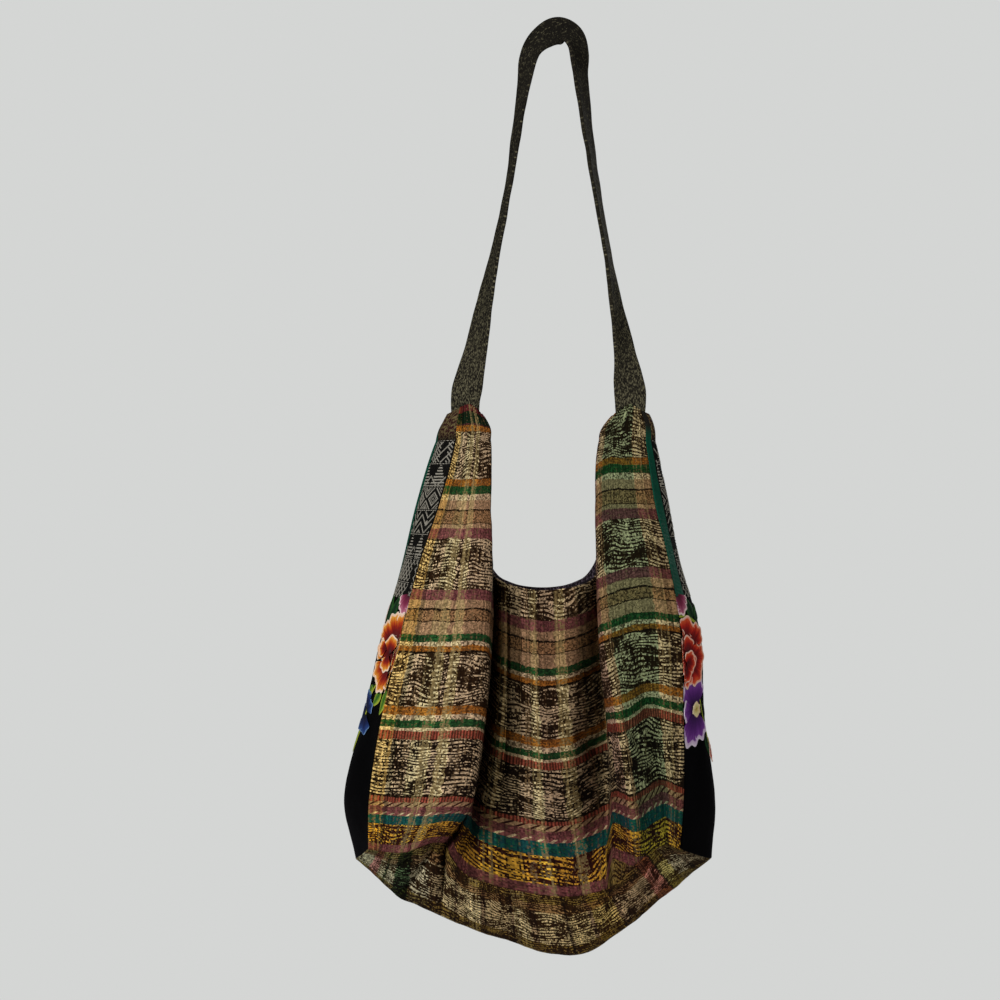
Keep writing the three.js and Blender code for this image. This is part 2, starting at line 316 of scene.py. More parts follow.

# %% [markdown]
# ## The ikat cloth
# In ikat the yarn is tied and dyed in patches before it is woven, so the edge of each patch is
# feathered: every thread starts and stops at its own place. The shader does the same. It counts rows of
# dashes, shifts each row sideways by its own throw of the dice, and only then asks whether the yarn is
# dyed there. Each stripe has a light and a dark dye, and a figure that says where the dark one shows.
# The warp is set up in columns of other colours, which tint everything that crosses them, and here and
# there the bare warp lies on top. On the front's middle and right strip the tints are darker still, as
# painted shade.

# %% Dyes and figures
DYES = {
    "cream": (204, 190, 158), "pale cream": (206, 192, 160), "pink cream": (168, 142, 112),
    "tan": (152, 122, 88), "brown": (40, 26, 10), "dark brown": (26, 16, 6), "mauve": (130, 82, 84),
    "plum": (76, 42, 46), "rose": (112, 48, 54), "red": (158, 84, 68), "maroon": (50, 20, 16),
    "orange": (166, 112, 46), "gold": (216, 172, 64), "green": (40, 86, 46), "dark green": (16, 40, 24),
    "teal": (22, 86, 72), "blue": (24, 72, 98), "olive": (136, 116, 66), "umber": (44, 27, 11),
}
BARE_WARP = tint(156, 136, 100)
# the shares of dyed dashes, small checks, upright ticks and slanted ticks in each figure
FIGURES = {
    "plain": (0, 0.35, 0, 0),
    "ikat": (1, 0, 0, 0),
    "mottled": (0.4, 0.3, 0, 0),
    "check": (0, 1, 0, 0),
    "ticks": (0, 0, 1, 0),
    "slant": (0, 0, 0, 1),
}


def rows(kind, *table):
    """A table whose columns have names."""
    return [kind(*row) for row in table]


print(len(DYES), "dyes and", len(FIGURES), "figures")

# %% Stripes of the body
# top is the band's upper edge in millimetres below the shoulder
Band = namedtuple("Band", "top light dark figure")
BODY_BANDS = rows(
    Band,
    (0, "rose", "maroon", "ticks"), (7, "dark green", "brown", "plain"), (18.5, "plum", "brown", "plain"),
    (20.5, "orange", "brown", "check"), (26.5, "cream", "brown", "ikat"),
    (70, "orange", "maroon", "mottled"), (76, "green", "dark green", "mottled"),
    (83, "cream", "brown", "check"), (88, "pink cream", "brown", "plain"),
    (96.5, "dark brown", "brown", "plain"), (97.6, "tan", "brown", "check"),
    (109, "dark brown", "brown", "plain"), (110.1, "pink cream", "brown", "plain"),
    (113.5, "mauve", "plum", "mottled"), (122, "cream", "brown", "ikat"),
    (163.5, "mauve", "plum", "mottled"), (171.5, "pink cream", "brown", "plain"),
    (178.5, "dark brown", "brown", "plain"), (179.6, "tan", "brown", "check"),
    (188, "dark brown", "brown", "plain"), (189.2, "pink cream", "brown", "plain"),
    (198.5, "green", "dark green", "mottled"), (204.5, "cream", "brown", "check"),
    (207.5, "orange", "maroon", "mottled"), (212, "dark brown", "brown", "plain"),
    (213.2, "cream", "brown", "ikat"), (254, "orange", "maroon", "mottled"),
    (260.5, "cream", "brown", "check"), (264.5, "green", "dark green", "mottled"),
    (270, "cream", "brown", "plain"), (273, "red", "brown", "ticks"),
    (279, "cream", "dark brown", "ikat"), (323, "dark brown", "brown", "plain"),
    (324.5, "red", "maroon", "ticks"), (329, "maroon", "pink cream", "slant"),
    (332.5, "mauve", "plum", "mottled"), (338.5, "pale cream", "mauve", "slant"),
    (341.5, "teal", "blue", "mottled"), (350, "gold", "maroon", "ikat"),
    (369, "mauve", "plum", "mottled"), (377, "olive", "umber", "ikat"),
)
BODY_LENGTH = 400  # millimetres of cloth that the bands cover
print(len(BODY_BANDS), "bands")

# %% Warp columns of the body
# left is the column's left edge in millimetres from the left seam. Its tint and the share of bare warp that
# shows are in percent. From 112 to 266 mm the tints are darker than the warp's own colours: painted shade
# on the front's middle and right strip.
Column = namedtuple("Column", "left red green blue bare")
BODY_COLUMNS = rows(
    Column,
    (0, 110, 88, 46, 30), (9, 62, 56, 44, 10), (14, 92, 78, 68, 15), (24, 86, 82, 66, 15),
    (32, 106, 102, 82, 40), (38, 78, 64, 58, 15), (43, 114, 108, 88, 50), (51, 84, 68, 62, 20),
    (60, 70, 56, 50, 10), (76, 40, 32, 27, 10), (112, 67, 59, 43, 30), (122, 45, 38, 31, 10),
    (134, 68, 56, 50, 20), (141, 81, 76, 61, 35), (148, 54, 42, 38, 10), (162, 85, 78, 61, 45),
    (171, 65, 52, 45, 15), (182, 56, 49, 40, 15), (196, 50, 41, 34, 10), (208, 60, 44, 44, 20),
    (222, 68, 61, 48, 35), (230, 37, 49, 38, 10), (266, 68, 64, 49, 35), (277, 55, 48, 37, 15),
)
BODY_WIDTH = 286
print(len(BODY_COLUMNS), "warp columns")

# %% Figures of the ikat
WEFT_RISE = 14 * MM  # how far the dyed threads wander up and down
RISE_LUMPS = (40, 34)  # lumps to the metre, across and down
PATCH_LUMPS = (50, 75)
DASH_PITCH = 1.3 * MM  # height of one dyed dash
DASHES = 75  # to the metre along a thread
DASH_SHIFT = 40  # each row of dashes starts this many dashes further on, at most
ROW_STEP = 3.7  # and reads the noise this far from the last row
# how much the patch, the dash, every second row and the single crossing say on whether the yarn is dyed
PATCH_SAY, DASH_SAY, ROW_SAY, CROSSING_SAY = 0.38, 0.34, 0.12, 0.2
DYE_EDGE = (0.425, 0.49)
CHECK_EDGE, CHECK_SHARE = (0.4, 0.75), 0.75
TICK_PITCH, TICK_EDGE, TICK_SHARE = 2.1 * MM, (0.3, 0.7), 0.8
SLANT_PITCH, SLANT_EDGE, SLANT = 7.0 * MM, (0.15, 0.35), 1.3


def ikat_figures(finish, across, down, crossing):
    """How dark each figure is at a place: dyed dashes, small checks, upright ticks and slanted ticks."""
    rise = finish.noise(across * RISE_LUMPS[0], down * RISE_LUMPS[1], detail=0.5)
    risen = (rise - 0.5) * WEFT_RISE + down
    row = (risen / DASH_PITCH).floor()
    along = finish.dice(row, 11.5) * DASH_SHIFT + across * DASHES
    dash = finish.noise(along, row * ROW_STEP, detail=2.0)
    patch = finish.noise(across * PATCH_LUMPS[0], risen * PATCH_LUMPS[1], detail=1.0)
    second = finish.math("FLOORED_MODULO", row, 2)
    dyed = patch * PATCH_SAY + (dash * DASH_SAY + second * ROW_SAY)
    ikat = finish.between(crossing * CROSSING_SAY + dyed, *DYE_EDGE)
    check = finish.between(crossing, *CHECK_EDGE) * CHECK_SHARE
    ticks = finish.between(finish.wave(across, TICK_PITCH), *TICK_EDGE) * TICK_SHARE
    slant = finish.between(finish.wave(down * SLANT + across, SLANT_PITCH), *SLANT_EDGE)
    return ikat, check, ticks, slant


print("a dyed dash is", DASH_PITCH / MM, "mm high")

# %% The ikat recipe
WEFT_PITCH = 1.0 * MM
WARP_PITCH = 1.0 * MM
TOOTH = 0.6 * MM  # how far the stripes' edges jump from one warp thread to the next
STRIPE_WANDER = 1.4 * MM
COLUMN_WANDER = 0.01  # share of the cloth's width
WANDER_LUMPS = (90, 260)  # to the metre
SLUBS = 420  # to the metre along a weft thread
# what a warp thread's throw, a crossing's throw and the column say on whether bare warp lies on top
WARP_SAY, OVER_SAY, BARE_EDGE, BARE_SHARE = 0.4, 0.5, (0.8, 0.96), 0.7
CORD = (0.7, 1.3)  # the darkest and the lightest warp thread
WORN = (0.6, 1.4)
WARP_RELIEF, SLUB_RELIEF = 0.5, 1.5  # how high warp and slubs stand beside the weft


def banded(finish, place, bands, length, pick):
    """The colour and alpha of the band at a place, from two ramps, because one is read in only 256 steps."""
    half = len(bands) // 2
    middle = bands[half].top
    ramps = []
    for part, low, high in ((bands[:half], 0, middle), (bands[half:], middle, length)):
        share = (place - low * MM) / ((high - low) * MM)
        ramps.append(finish.steps(share, [((row.top - low) / (high - low), pick(row)) for row in part]))
    (first, first_alpha), (second, second_alpha) = ramps
    past = finish.math("GREATER_THAN", place, middle * MM)
    return finish.mix(past, first, second), (second_alpha - first_alpha) * past + first_alpha


def ikat_cloth(name, bands, length, columns, width):
    """Ikat cloth with its stripes across and its warp columns down the cloth."""
    finish = Finish(name, roughness=0.95, specular=0.08)
    across, down = finish.cloth_place()
    warp = (across / WARP_PITCH).floor()
    wander = finish.noise(across * WANDER_LUMPS[0], down * WANDER_LUMPS[1]) - 0.5
    wavy = wander * STRIPE_WANDER + (finish.dice(warp, 5.5) * TOOTH + down)
    crossing = finish.crossing(warp, (wavy / WEFT_PITCH).floor())
    light, _ = banded(finish, wavy, bands, length, lambda band: tint(*DYES[band.light]))
    dark, _ = banded(finish, wavy, bands, length, lambda band: tint(*DYES[band.dark]))
    figures, slanted = banded(finish, wavy, bands, length, lambda band: FIGURES[band.figure])
    darkness = 0.0
    for share, figure in zip([*finish.split(figures), slanted], ikat_figures(finish, across, down, crossing)):
        darkness = share * figure + darkness
    stops = [(column.left / width, [share / 100 for share in column[1:]]) for column in columns]
    # the column tint holds the warp's colours and, on the body's middle and right strip, painted shade
    column_tint_and_shade, bareness = finish.steps(wander * COLUMN_WANDER + across * (1 / (width * MM)), stops)
    dyed = finish.times(finish.mix(darkness, light, dark), column_tint_and_shade)
    over = finish.dice(warp, 7.5) * WARP_SAY + crossing * OVER_SAY + bareness
    bare = finish.between(over, *BARE_EDGE) * BARE_SHARE
    shown = finish.mix(bare, dyed, finish.times(BARE_WARP, column_tint_and_shade))
    slub = finish.noise(across * SLUBS, down / WEFT_PITCH, detail=2.0)
    cord = finish.dice(warp, 1.5) * (CORD[1] - CORD[0]) + CORD[0]
    worn = finish.spread(crossing, *reversed(WORN)) * (finish.spread(slub, *WORN) * cord)
    weave = finish.wave(across, WARP_PITCH) * WARP_RELIEF + finish.wave(wavy, WEFT_PITCH)
    finish.bump(slub * SLUB_RELIEF + weave, depth=0.25 * MM)
    return finish.colour(finish.times(shown, finish.join(worn, worn, worn)))


body_ikat = ikat_cloth("body_ikat", BODY_BANDS, BODY_LENGTH, BODY_COLUMNS, BODY_WIDTH)
print("ikat finish:", len(body_ikat.node_tree.nodes), "nodes")

# %% [markdown]
# ## The lines of the bag
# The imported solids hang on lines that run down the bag: the seams, the outermost line of each gusset,
# and the crests and valleys of the front's folds. These lines are repeated here in millimetres, with
# small changes at corners and hems, and with one value for each of eight levels from the shoulder to
# the hem. A smooth curve runs down each line, and another runs across them at every height, so a piece
# of cloth is a net between lines.

# %% Seams and sides
HEIGHT = (-307, -338, -388, -438, -500, -561, -623, -663)
NECK_LEVEL = 3
LEVELS = len(HEIGHT)
LEVEL = range(LEVELS)
ROUNDING = 8  # the corners of the shoulders' tops lie this far below their middle
NO_DROP = (0,) * LEVELS
SEAM = {
    "left": (-82, -85, -97, -113, -127, -141, -150, -151),
    "right": (70, 73, 78, 88, 95, 95, 94, 92),
    "y": (-3.6, -18, -35, -48, -61, -72, -78, -74),
}
LEFT_CORNER = (2.5, *NO_DROP[1:])
RIGHT_CORNER = (5, *NO_DROP[1:])
SIDE = {
    "left": (-91, -98, -112.5, -126, -146, -160, -177, -168),
    "right": (76, 82, 92, 101, 118, 120, 129, 127),
    "y": (0, -7, -13, -17, -21, -25, -26, -22),
    "drop": (ROUNDING, 0, 0, 0, 0, 2, 10, 22),
}
BACK = {
    "left": (-90, -103, -119, -131, -146, -153, -166, -160),
    "right": (75, 81, 90, 98, 108, 111, 119, 118),
    "y": (3.6, 5, 7, 8, 9, 9, 9, 8),
    "drop": (ROUNDING, 0, 0, 0, 0, 2, 8, 17),
}


def line_down(x, y, drop):
    return [Vector((x[n], y[n], HEIGHT[n] - drop[n])) * MM for n in LEVEL]


def both_sides(row, left_drop, right_drop):
    return {
        "left": line_down(row["left"], row["y"], left_drop),
        "right": line_down(row["right"], row["y"], right_drop),
    }


seams = both_sides(SEAM, LEFT_CORNER, RIGHT_CORNER)
sides = both_sides(SIDE, SIDE["drop"], SIDE["drop"])
backs = both_sides(BACK, BACK["drop"], BACK["drop"])
print(LEVELS, "levels, seams, sides and back seams at the left and right")

# %% Folds of the front
FRONT_SAG = (0, 0, 0, 24, 31, 33, 30, 35)
DEEP_CORNER = 2.5 * ROUNDING  # how far the lines between the shoulders start below the top
# The three lines between the shoulders start at the neck, and sag is a line's share of the front's sag.
Fold = namedtuple("Fold", "sag corner x y")
CREST = Fold(
    0.05,
    ROUNDING,
    (-66.5, -58, -57.6, -58, -60, -65, -75, -98),
    (-3.6, -20, -39, -56, -71, -84, -90, -78),
)
LEFT_TUCK = Fold(0.6, DEEP_CORNER, (-52, -53, -58, -69, -74), (-37, -42, -50, -58, -72))
TROUGH = Fold(1, DEEP_CORNER, (-15, -13, -10, -5, 5), (-34, -38, -46, -60, -80))
RIGHT_FLANK = Fold(0.7, DEEP_CORNER, (24, 27, 33, 40, 42), (-37, -42, -51, -66, -82))
RIDGE = Fold(0.2, ROUNDING, (51, 36.5, 31.7, 33, 38, 47, 54, 58), (-3.6, -20, -38, -50, -63, -80, -90, -84))
GROOVE = Fold(-0.1, 0, (61, 55, 55, 61, 68, 72, 80, 81), (-3.6, -21, -39, -55, -61, -59, -67, -74))
FOLDS = [CREST, LEFT_TUCK, TROUGH, RIGHT_FLANK, RIDGE, GROOVE]
STRIP_BULGE = (1, 1, 1, 6, 6, 6, 6, 6)
HEM_RISE = 7  # the hem of the left strip rises towards the crest


def lerp(low, high, share):
    return low + (high - low) * share


def fold_line(fold):
    """A fold of the front. Above the neck a line between the shoulders only carries them on."""
    first = LEVELS - len(fold.x)
    share = (fold.x[0] - CREST.x[first]) / (RIDGE.x[first] - CREST.x[first])
    x = [lerp(CREST.x[n], RIDGE.x[n], share) for n in range(first)] + list(fold.x)
    y = [lerp(CREST.y[n], RIDGE.y[n], share) for n in range(first)] + list(fold.y)
    drop = [fold.sag * sag for sag in FRONT_SAG]
    drop[0] += fold.corner
    if fold == CREST:
        drop[-1] -= HEM_RISE
    return line_down(x, y, drop)


strip_x = [(SEAM["left"][n] + CREST.x[n]) / 2 for n in LEVEL]
strip_y = [(SEAM["y"][n] + CREST.y[n]) / 2 - STRIP_BULGE[n] for n in LEVEL]
left_strip = line_down(strip_x, strip_y, NO_DROP)
front_lines = [seams["left"], left_strip, *[fold_line(fold) for fold in FOLDS], seams["right"]]
print("front lines:", len(front_lines))

# %% Waves of the back
BACK_SAG = (0, 0, 0, 24.5, 25, 20, 16, 18)
BACK_INSET = 5
# between is the place between the shoulder edges, and wave is how far the line waves at the hem.
BackLine = namedtuple("BackLine", "between wave sag")
BACK_LINES = [BackLine(1, 2, 0.45), BackLine(0.67, -2, 0.95), BackLine(0.33, 3, 0.95), BackLine(0, -3, 0.45)]


def smoothstep(value, low, high):
    share = min(max((value - low) / (high - low), 0.0), 1.0)
    return share * share * (3 - 2 * share)


def back_line(row):
    neck = [min(n, NECK_LEVEL) for n in LEVEL]
    x = [lerp(CREST.x[n] - BACK_INSET, RIDGE.x[n] + BACK_INSET, row.between) for n in neck]
    y = [BACK["y"][n] + row.wave * smoothstep(n, 1, LEVELS - 1) for n in LEVEL]
    return line_down(x, y, [BACK["drop"][n] + row.sag * BACK_SAG[n] for n in LEVEL])


back_lines = [backs["right"], *[back_line(row) for row in BACK_LINES], backs["left"]]
print("back lines:", len(back_lines))

# %% Curves and nets
SHOULDERS = (-77, 61)  # the middle of each shoulder's top
SHOULDER_HALF = 14  # half of a shoulder's width
SHOULDER_BULGE = 3.0


def smooth_point(points, share):
    """The point at a share, 0 to 1, of a centripetal Catmull-Rom curve through the points."""
    place = (len(points) - 1) * min(max(share, 0.0), 1.0)
    n = min(int(place), len(points) - 2)
    w = place - n
    here, there = points[n], points[n + 1]
    before = points[n - 1] if n > 0 else 2 * here - there
    after = points[n + 2] if n + 2 < len(points) else 2 * there - here
    a, b, c = [math.sqrt((q - p).length) for p, q in ((before, here), (here, there), (there, after))]
    start = ((here - before) / a - (there - before) / (a + b) + (there - here) / b) * b
    end = ((there - here) / b - (after - here) / (b + c) + (after - there) / c) * b
    square = 3 * (there - here) - 2 * start - end
    cube = 2 * (here - there) + start + end
    return here + w * (start + w * (square + w * cube))


def plumped(point):
    """The shoulders swell out just below their tops, where strap and seams lie inside them."""
    rise = (point.z / MM - HEIGHT[1]) / (HEIGHT[0] - HEIGHT[1])
    if not 0 < rise < 1:
        return point
    from_middle = min((point.x / MM - middle for middle in SHOULDERS), key=abs)
    side = min(max(from_middle / SHOULDER_HALF, -1), 1)
    return point + Vector((side * SHOULDER_BULGE * MM * math.sin(math.pi * rise), 0, 0))


def net(lines):
    """A function that places a point of the cloth between lines, by its shares across and down."""
    sections = {}

    def place(across, down):
        row = round(down, 7)
        if row not in sections:
            sections[row] = [smooth_point(line, row) for line in lines]
        return plumped(smooth_point(sections[row], across))

    return place


front_net = net(front_lines)
print("the front's left shoulder is at", [round(x, 3) for x in front_net(0, 0)])

# %% Tape measure
STEPS = 200
TAPE = [n / STEPS for n in range(STEPS + 1)]
WIDTH_DOWN = 0.6  # widths are taken this share of the way down
STRIP_SHARE = 1 / 8  # and the front's length along its left strip


def lengths(points):
    """The running length along points, in metres."""
    runs = [0.0]
    for p, q in zip(points, points[1:]):
        runs.append(runs[-1] + (q - p).length)
    return runs


def at(table, share):
    """The value at a share, 0 to 1, of an evenly spaced table."""
    place = (len(table) - 1) * min(max(share, 0.0), 1.0)
    n = min(int(place), len(table) - 2)
    return lerp(table[n], table[n + 1], place - n)


front_widths = lengths([front_net(share, WIDTH_DOWN) for share in TAPE])
front_lengths = lengths([front_net(STRIP_SHARE, share) for share in TAPE])
print("front cloth is", round(front_widths[-1], 4), "m wide and", round(front_lengths[-1], 4), "m long")

# %% [markdown]
# ## A piece of cloth
# Every panel is made the same way. A flat grid from bmesh is the cloth on the cutting table. Each of
# its points is carried to its place in the net, pushed a little along the surface for creases, and
# remembers where it lay in the flat cloth, so that stripes and weave follow it. Cells outside the cut
# are deleted, and a Solidify modifier gives the cloth its thickness, with the lining on the inside.

# %% Cloth maker
CLOTH_THICKNESS = 1.5 * MM


def unshaped(across, down):
    return across, down


def cloth_piece(
    name, cells, place, flat, crease, materials, kept=None, shaped=unshaped, wall=CLOTH_THICKNESS
):
    """A grid of cells[0] by cells[1] carried to a surface. The functions take shares across and down."""
    cloth = bmesh.new()
    bmesh.ops.create_grid(cloth, x_segments=cells[0], y_segments=cells[1], size=0.5)
    cuts = {vertex: shaped(vertex.co.x + 0.5, 0.5 - vertex.co.y) for vertex in cloth.verts}
    if kept:
        middles = {face: face.calc_center_median() for face in cloth.faces}
        cut_out = [face for face, m in middles.items() if not kept(m.x + 0.5, 0.5 - m.y)]
        bmesh.ops.delete(cloth, geom=cut_out, context="FACES")
    uv = cloth.loops.layers.uv.new("cloth")
    for face in cloth.faces:
        face.smooth = True
        for loop in face.loops:
            loop[uv].uv = flat(*cuts[loop.vert])
    for vertex in cloth.verts:
        vertex.co = place(*cuts[vertex])
    cloth.normal_update()
    pushes = {vertex: vertex.normal * crease(*cuts[vertex]) for vertex in cloth.verts}
    for vertex, push in pushes.items():
        vertex.co += push
    piece = sewn(name, cloth, materials)
    thickness = piece.modifiers.new("thickness", "SOLIDIFY")
    thickness.thickness = wall
    thickness.offset = 0
    thickness.material_offset = len(materials) - 1
    area = sum(face.area for face in piece.data.polygons)
    print(name, len(piece.data.polygons), "cells,", round(area, 4), "square metres")
    return piece


def dress(piece, node, slot, cut, area=None):
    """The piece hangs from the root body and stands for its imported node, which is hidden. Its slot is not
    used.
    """
    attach(piece, "root")
    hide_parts(node)


lining = Finish("dark_lining", roughness=0.95, specular=0.1)
across, down = lining.cloth_place()
fleck = lining.between(lining.noise(across * 700, down * 500, detail=2.0), 0.45, 0.75)
dark_lining = lining.colour(lining.mix(fleck, tint(24, 19, 24), tint(92, 80, 90)))
print("lining finished")

# %% [markdown]
# ## Front panel
# The front is one wide piece with two shoulder strips. The strips stand forward and the middle hangs
# back between them, so the cloth tucks in at the left crest, sags in the trough and comes out again at
# the right ridge. The stripes were straight when the cloth was cut. They lie lower in the middle
# because that part hangs lower, and they jump where the right strip hides a fold, so a few lifts move
# them on the flat cloth.

# %% Where the front's stripes lie
NECK = NECK_LEVEL / (LEVELS - 1)
CREST_SHARE = 2 / 8
RIDGE_SHARE = 6 / 8
SKEW = 20 * MM  # the stripes lie this much higher on the right shoulder
TOP_SKEW = 8 * MM  # and by this much more at its very top
TOP_REACH = 20 * MM
SKEW_START = (0.6, 0.82)  # the skew comes in between these shares of the width
SKEW_END = 6 / 7  # and has gone this share of the way down
# how much higher the stripes lie, at each level and half level, on the left strip and in the middle
STRIP_LIFT = (0, 0, 0, 0, 0, 0, -1, -2, -3, -4.5, -5, -5, -4.5, -1, 0)
MIDDLE_LIFT = (0, 0, 0, 0, 0, 0, 0, -2, -3.5, -4, -4.5, -3, 0, 0, 0)
MIDDLE_START, MIDDLE_END = (0.27, 0.32), (0.64, 0.68)
CREST_LIFT = (0, 0, 0, 0, 2, 3, 4, 4)  # and how much they rise towards the left crest, at each level
CREST_REACH = 0.12
VALLEY = (Vector((214, 146)), Vector((189, 376)))  # the right strip covers the middle from this line on
VALLEY_REACH = 4 * MM
VALLEY_SAG = (0.66, 0.1)  # least share of the sag before the valley and greatest behind it
SAG_SHARES = [0, 0, *[fold.sag for fold in FOLDS], 0]


def valley_jump(across, down):
    """The middle's stripes stay low up to the valley, and those of the right strip start high behind it."""
    if across < 0.5:
        return 0.0
    u, v = at(front_widths, across), at(front_lengths, down)
    start, end = VALLEY
    valley = lerp(start.x, end.x, (v / MM - start.y) / (end.y - start.y)) * MM
    past = smoothstep(u, valley - VALLEY_REACH, valley + VALLEY_REACH)
    share = at(SAG_SHARES, across)
    wanted = lerp(max(share, VALLEY_SAG[0]), min(share, VALLEY_SAG[1]), past)
    return (share - wanted) * at(FRONT_SAG, down) * MM


def front_flat(across, down):
    """Where a point of the front lies in the flat cloth."""
    length = at(front_lengths, down)
    skew = SKEW * (1 - (down / SKEW_END) ** 2) + TOP_SKEW * math.exp(-((length / TOP_REACH) ** 2))
    lift = skew * smoothstep(across, *SKEW_START)
    lift += at(CREST_LIFT, down) * MM * math.exp(-(((across - CREST_SHARE) / CREST_REACH) ** 2))
    left = lerp(at(STRIP_LIFT, down), at(MIDDLE_LIFT, down), smoothstep(across, *MIDDLE_START))
    lift += left * MM * (1 - smoothstep(across, *MIDDLE_END))
    return at(front_widths, across), length + lift + valley_jump(across, down)


print("the neck's stripes lie", round(front_flat(0.5, NECK)[1], 3), "m down the flat cloth")

# %% [markdown]
# ## Tucks, creases and seams
# Deep tucks go back into the bag, and shallow creases press the cloth in along its own normal.
# Both are lines on the flat cloth with a width and a depth. Near the seams the cloth lies calm and
# rolls in a little, and next to the velvet the front's edge laps over it, as a sewn seam does.

# %% Tucks and creases of the front
# Places are millimetres across and down the flat cloth. right is the width on a tuck's right side,
# and lean is how far it goes under the cloth there, as a share of its depth.
Tuck = namedtuple("Tuck", "start end width right depth lean")
Crease = namedtuple("Crease", "start end width depth")
FRONT_TUCKS = [
    Tuck((101, 128), (103, 352), 9.5, 9.5, 32.0, 0),
    Tuck((250, 210), (262, 372), 5.0, 5.0, 4.0, 0),
    Tuck((208, 140), (186, 350), 15.0, 5.0, 40.0, 0.25),
    Tuck((84, 320), (76, 430), 5.0, 5.0, 14.0, 0),
]
FRONT_CREASES = rows(
    Crease,
    ((120, 152), (124, 335), 2.5, 4.6), ((132, 156), (133, 345), 2.6, 4.2),
    ((142, 162), (140, 300), 2.8, 3.0), ((158, 190), (160, 330), 4.5, 1.4),
    ((228, 258), (247, 304), 3.5, 2.8), ((232, 300), (240, 350), 4.0, 2.4),
    ((176, 252), (194, 304), 5.0, 3.2), ((66, 200), (42, 275), 5.0, 1.3),
    ((64, 255), (30, 345), 6.0, 1.5), ((228, 100), (252, 190), 5.0, 1.4), ((20, 60), (48, 150), 6.0, 1.0),
    ((150, 318), (132, 374), 4.0, 1.6), ((172, 325), (182, 376), 4.0, 1.6),
)
FADE = 0.9  # a line's depth falls off towards its ends, and would reach nothing at 1


def dent(point, line):
    """How deep a crease or tuck presses the cloth at a point, in metres."""
    start = Vector(line.start) * MM
    along = Vector(line.end) * MM - start
    share = min(max((point - start).dot(along) / along.length_squared, 0.0), 1.0)
    off = point - start - share * along
    width = getattr(line, "right", line.width) if along.cross(off) < 0 else line.width
    gap = off.length / (width * MM)
    return line.depth * MM * math.exp(-gap * gap) * (1 - (FADE * (2 * share - 1)) ** 4)


def pressed(point, creases):
    return sum(dent(point, crease) for crease in creases)


print(len(FRONT_TUCKS), "tucks and", len(FRONT_CREASES), "creases in the front")

# %% Ripples and seams
SEAM_ROLL = 0.2 * MM
SEAM_REACH = 3.0 * MM
SEAM_CALM = 8 * MM  # the cloth lies calm this near to a seam, so that two pieces meet in it
TOP_CALM = 40 * MM  # and this near to the shoulders' tops
# height in millimetres, and lumps to the metre across and down
Ripple = namedtuple("Ripple", "height across down")
RIPPLES = [Ripple(1.1, 45, 28), Ripple(0.35, 130, 85)]
RIPPLE_STEP = 7  # the second ripple reads the noise this far from the first


def rolled(*edges):
    """How far the cloth turns in near its seams, from the distances to them."""
    return sum(SEAM_ROLL * math.exp(-((gap / SEAM_REACH) ** 2)) for gap in edges)


def ripple(u, v, seed):
    """Soft unevenness of hand-woven cloth, in metres."""
    height = 0.0
    for n, row in enumerate(RIPPLES):
        height += row.height * noise.noise(Vector((u * row.across, v * row.down, seed + n * RIPPLE_STEP)))
    return height * MM


def uneven(creases, seed, u, v, *edges):
    """How far the cloth stands out at a place: ripples and creases, which die out towards the seams."""
    calm = smoothstep(min(edges), 0, SEAM_CALM) * smoothstep(v, 0, TOP_CALM)
    return (ripple(u, v, seed) - pressed(Vector((u, v)), creases)) * calm - rolled(*edges)


print("seams roll in by", SEAM_ROLL / MM, "mm")

# %% Fall of the front
FRONT_SEED = 1.0
SEAM_LAP = 1.2 * MM  # the front laps over the edges of the velvet
LAP_START = (0.42, 0.52)  # and begins to do so between these shares of the way down
GATHER_PITCH = 5.5 * MM  # small gathers at the shoulders' tops
GATHER_DEPTH = 0.9 * MM
GATHER_REACH = 14 * MM


def front_place(across, down):
    """The tucks go back into the bag, deeper than the creases."""
    flat = Vector((at(front_widths, across), at(front_lengths, down)))
    from_left, from_right = flat.x / SEAM_REACH, (front_widths[-1] - flat.x) / SEAM_REACH
    lap = SEAM_LAP * smoothstep(down, *LAP_START)
    outward = lap * (math.exp(-from_right * from_right) - math.exp(-from_left * from_left))
    place = front_net(across, down) + Vector((outward, 0, 0))
    for tuck in FRONT_TUCKS:
        place = place + dent(flat, tuck) * Vector((tuck.lean, 1, 0))
    return place


def front_crease(across, down):
    u, v = at(front_widths, across), at(front_lengths, down)
    gathered = GATHER_DEPTH * math.sin(2 * math.pi * u / GATHER_PITCH) * math.exp(-v / GATHER_REACH)
    return uneven(FRONT_CREASES, FRONT_SEED, u, v, u, front_widths[-1] - u, front_lengths[-1] - v) + gathered


print("the front's trough is at", [round(x, 3) for x in front_place(0.5, WIDTH_DOWN)])

# %% Cut of the front
FRONT_CELLS = (200, 168)
STRIP_ALLOWANCE = 6 / 200  # the strips turn back a little past crest and ridge
FRONT_NECK = (CREST_SHARE + STRIP_ALLOWANCE, RIDGE_SHARE - STRIP_ALLOWANCE)
NECK_REACH = 0.1  # how far the neck's round corners reach, as a share of the width
NECK_BLEND = 1.5  # and how many times further on the strips' side
NECK_BAND = 0.12  # how far above and below the neck they can be felt, as a share of the length
FRONT_NECK_RISE = 0.035  # how high they rise, as a share of the length
FRONT_CUT = (0.39, 0.385)  # with the cloth that the tucks take up
FRONT_AREA = 0.1025


def scooped(neck, rise):
    """A function that rounds the corners of a neck, which lies between two shares of the width."""

    def shaped(across, down):
        inside = min(across - neck[0], neck[1] - across) / NECK_REACH
        if inside < 0:
            corner = 1 - smoothstep(-inside, 0, NECK_BLEND)
        else:
            corner = 1 - math.sqrt(1 - (1 - min(inside, 1)) ** 2)
        return across, down - rise * corner * math.exp(-(((down - NECK) / NECK_BAND) ** 2))

    return shaped


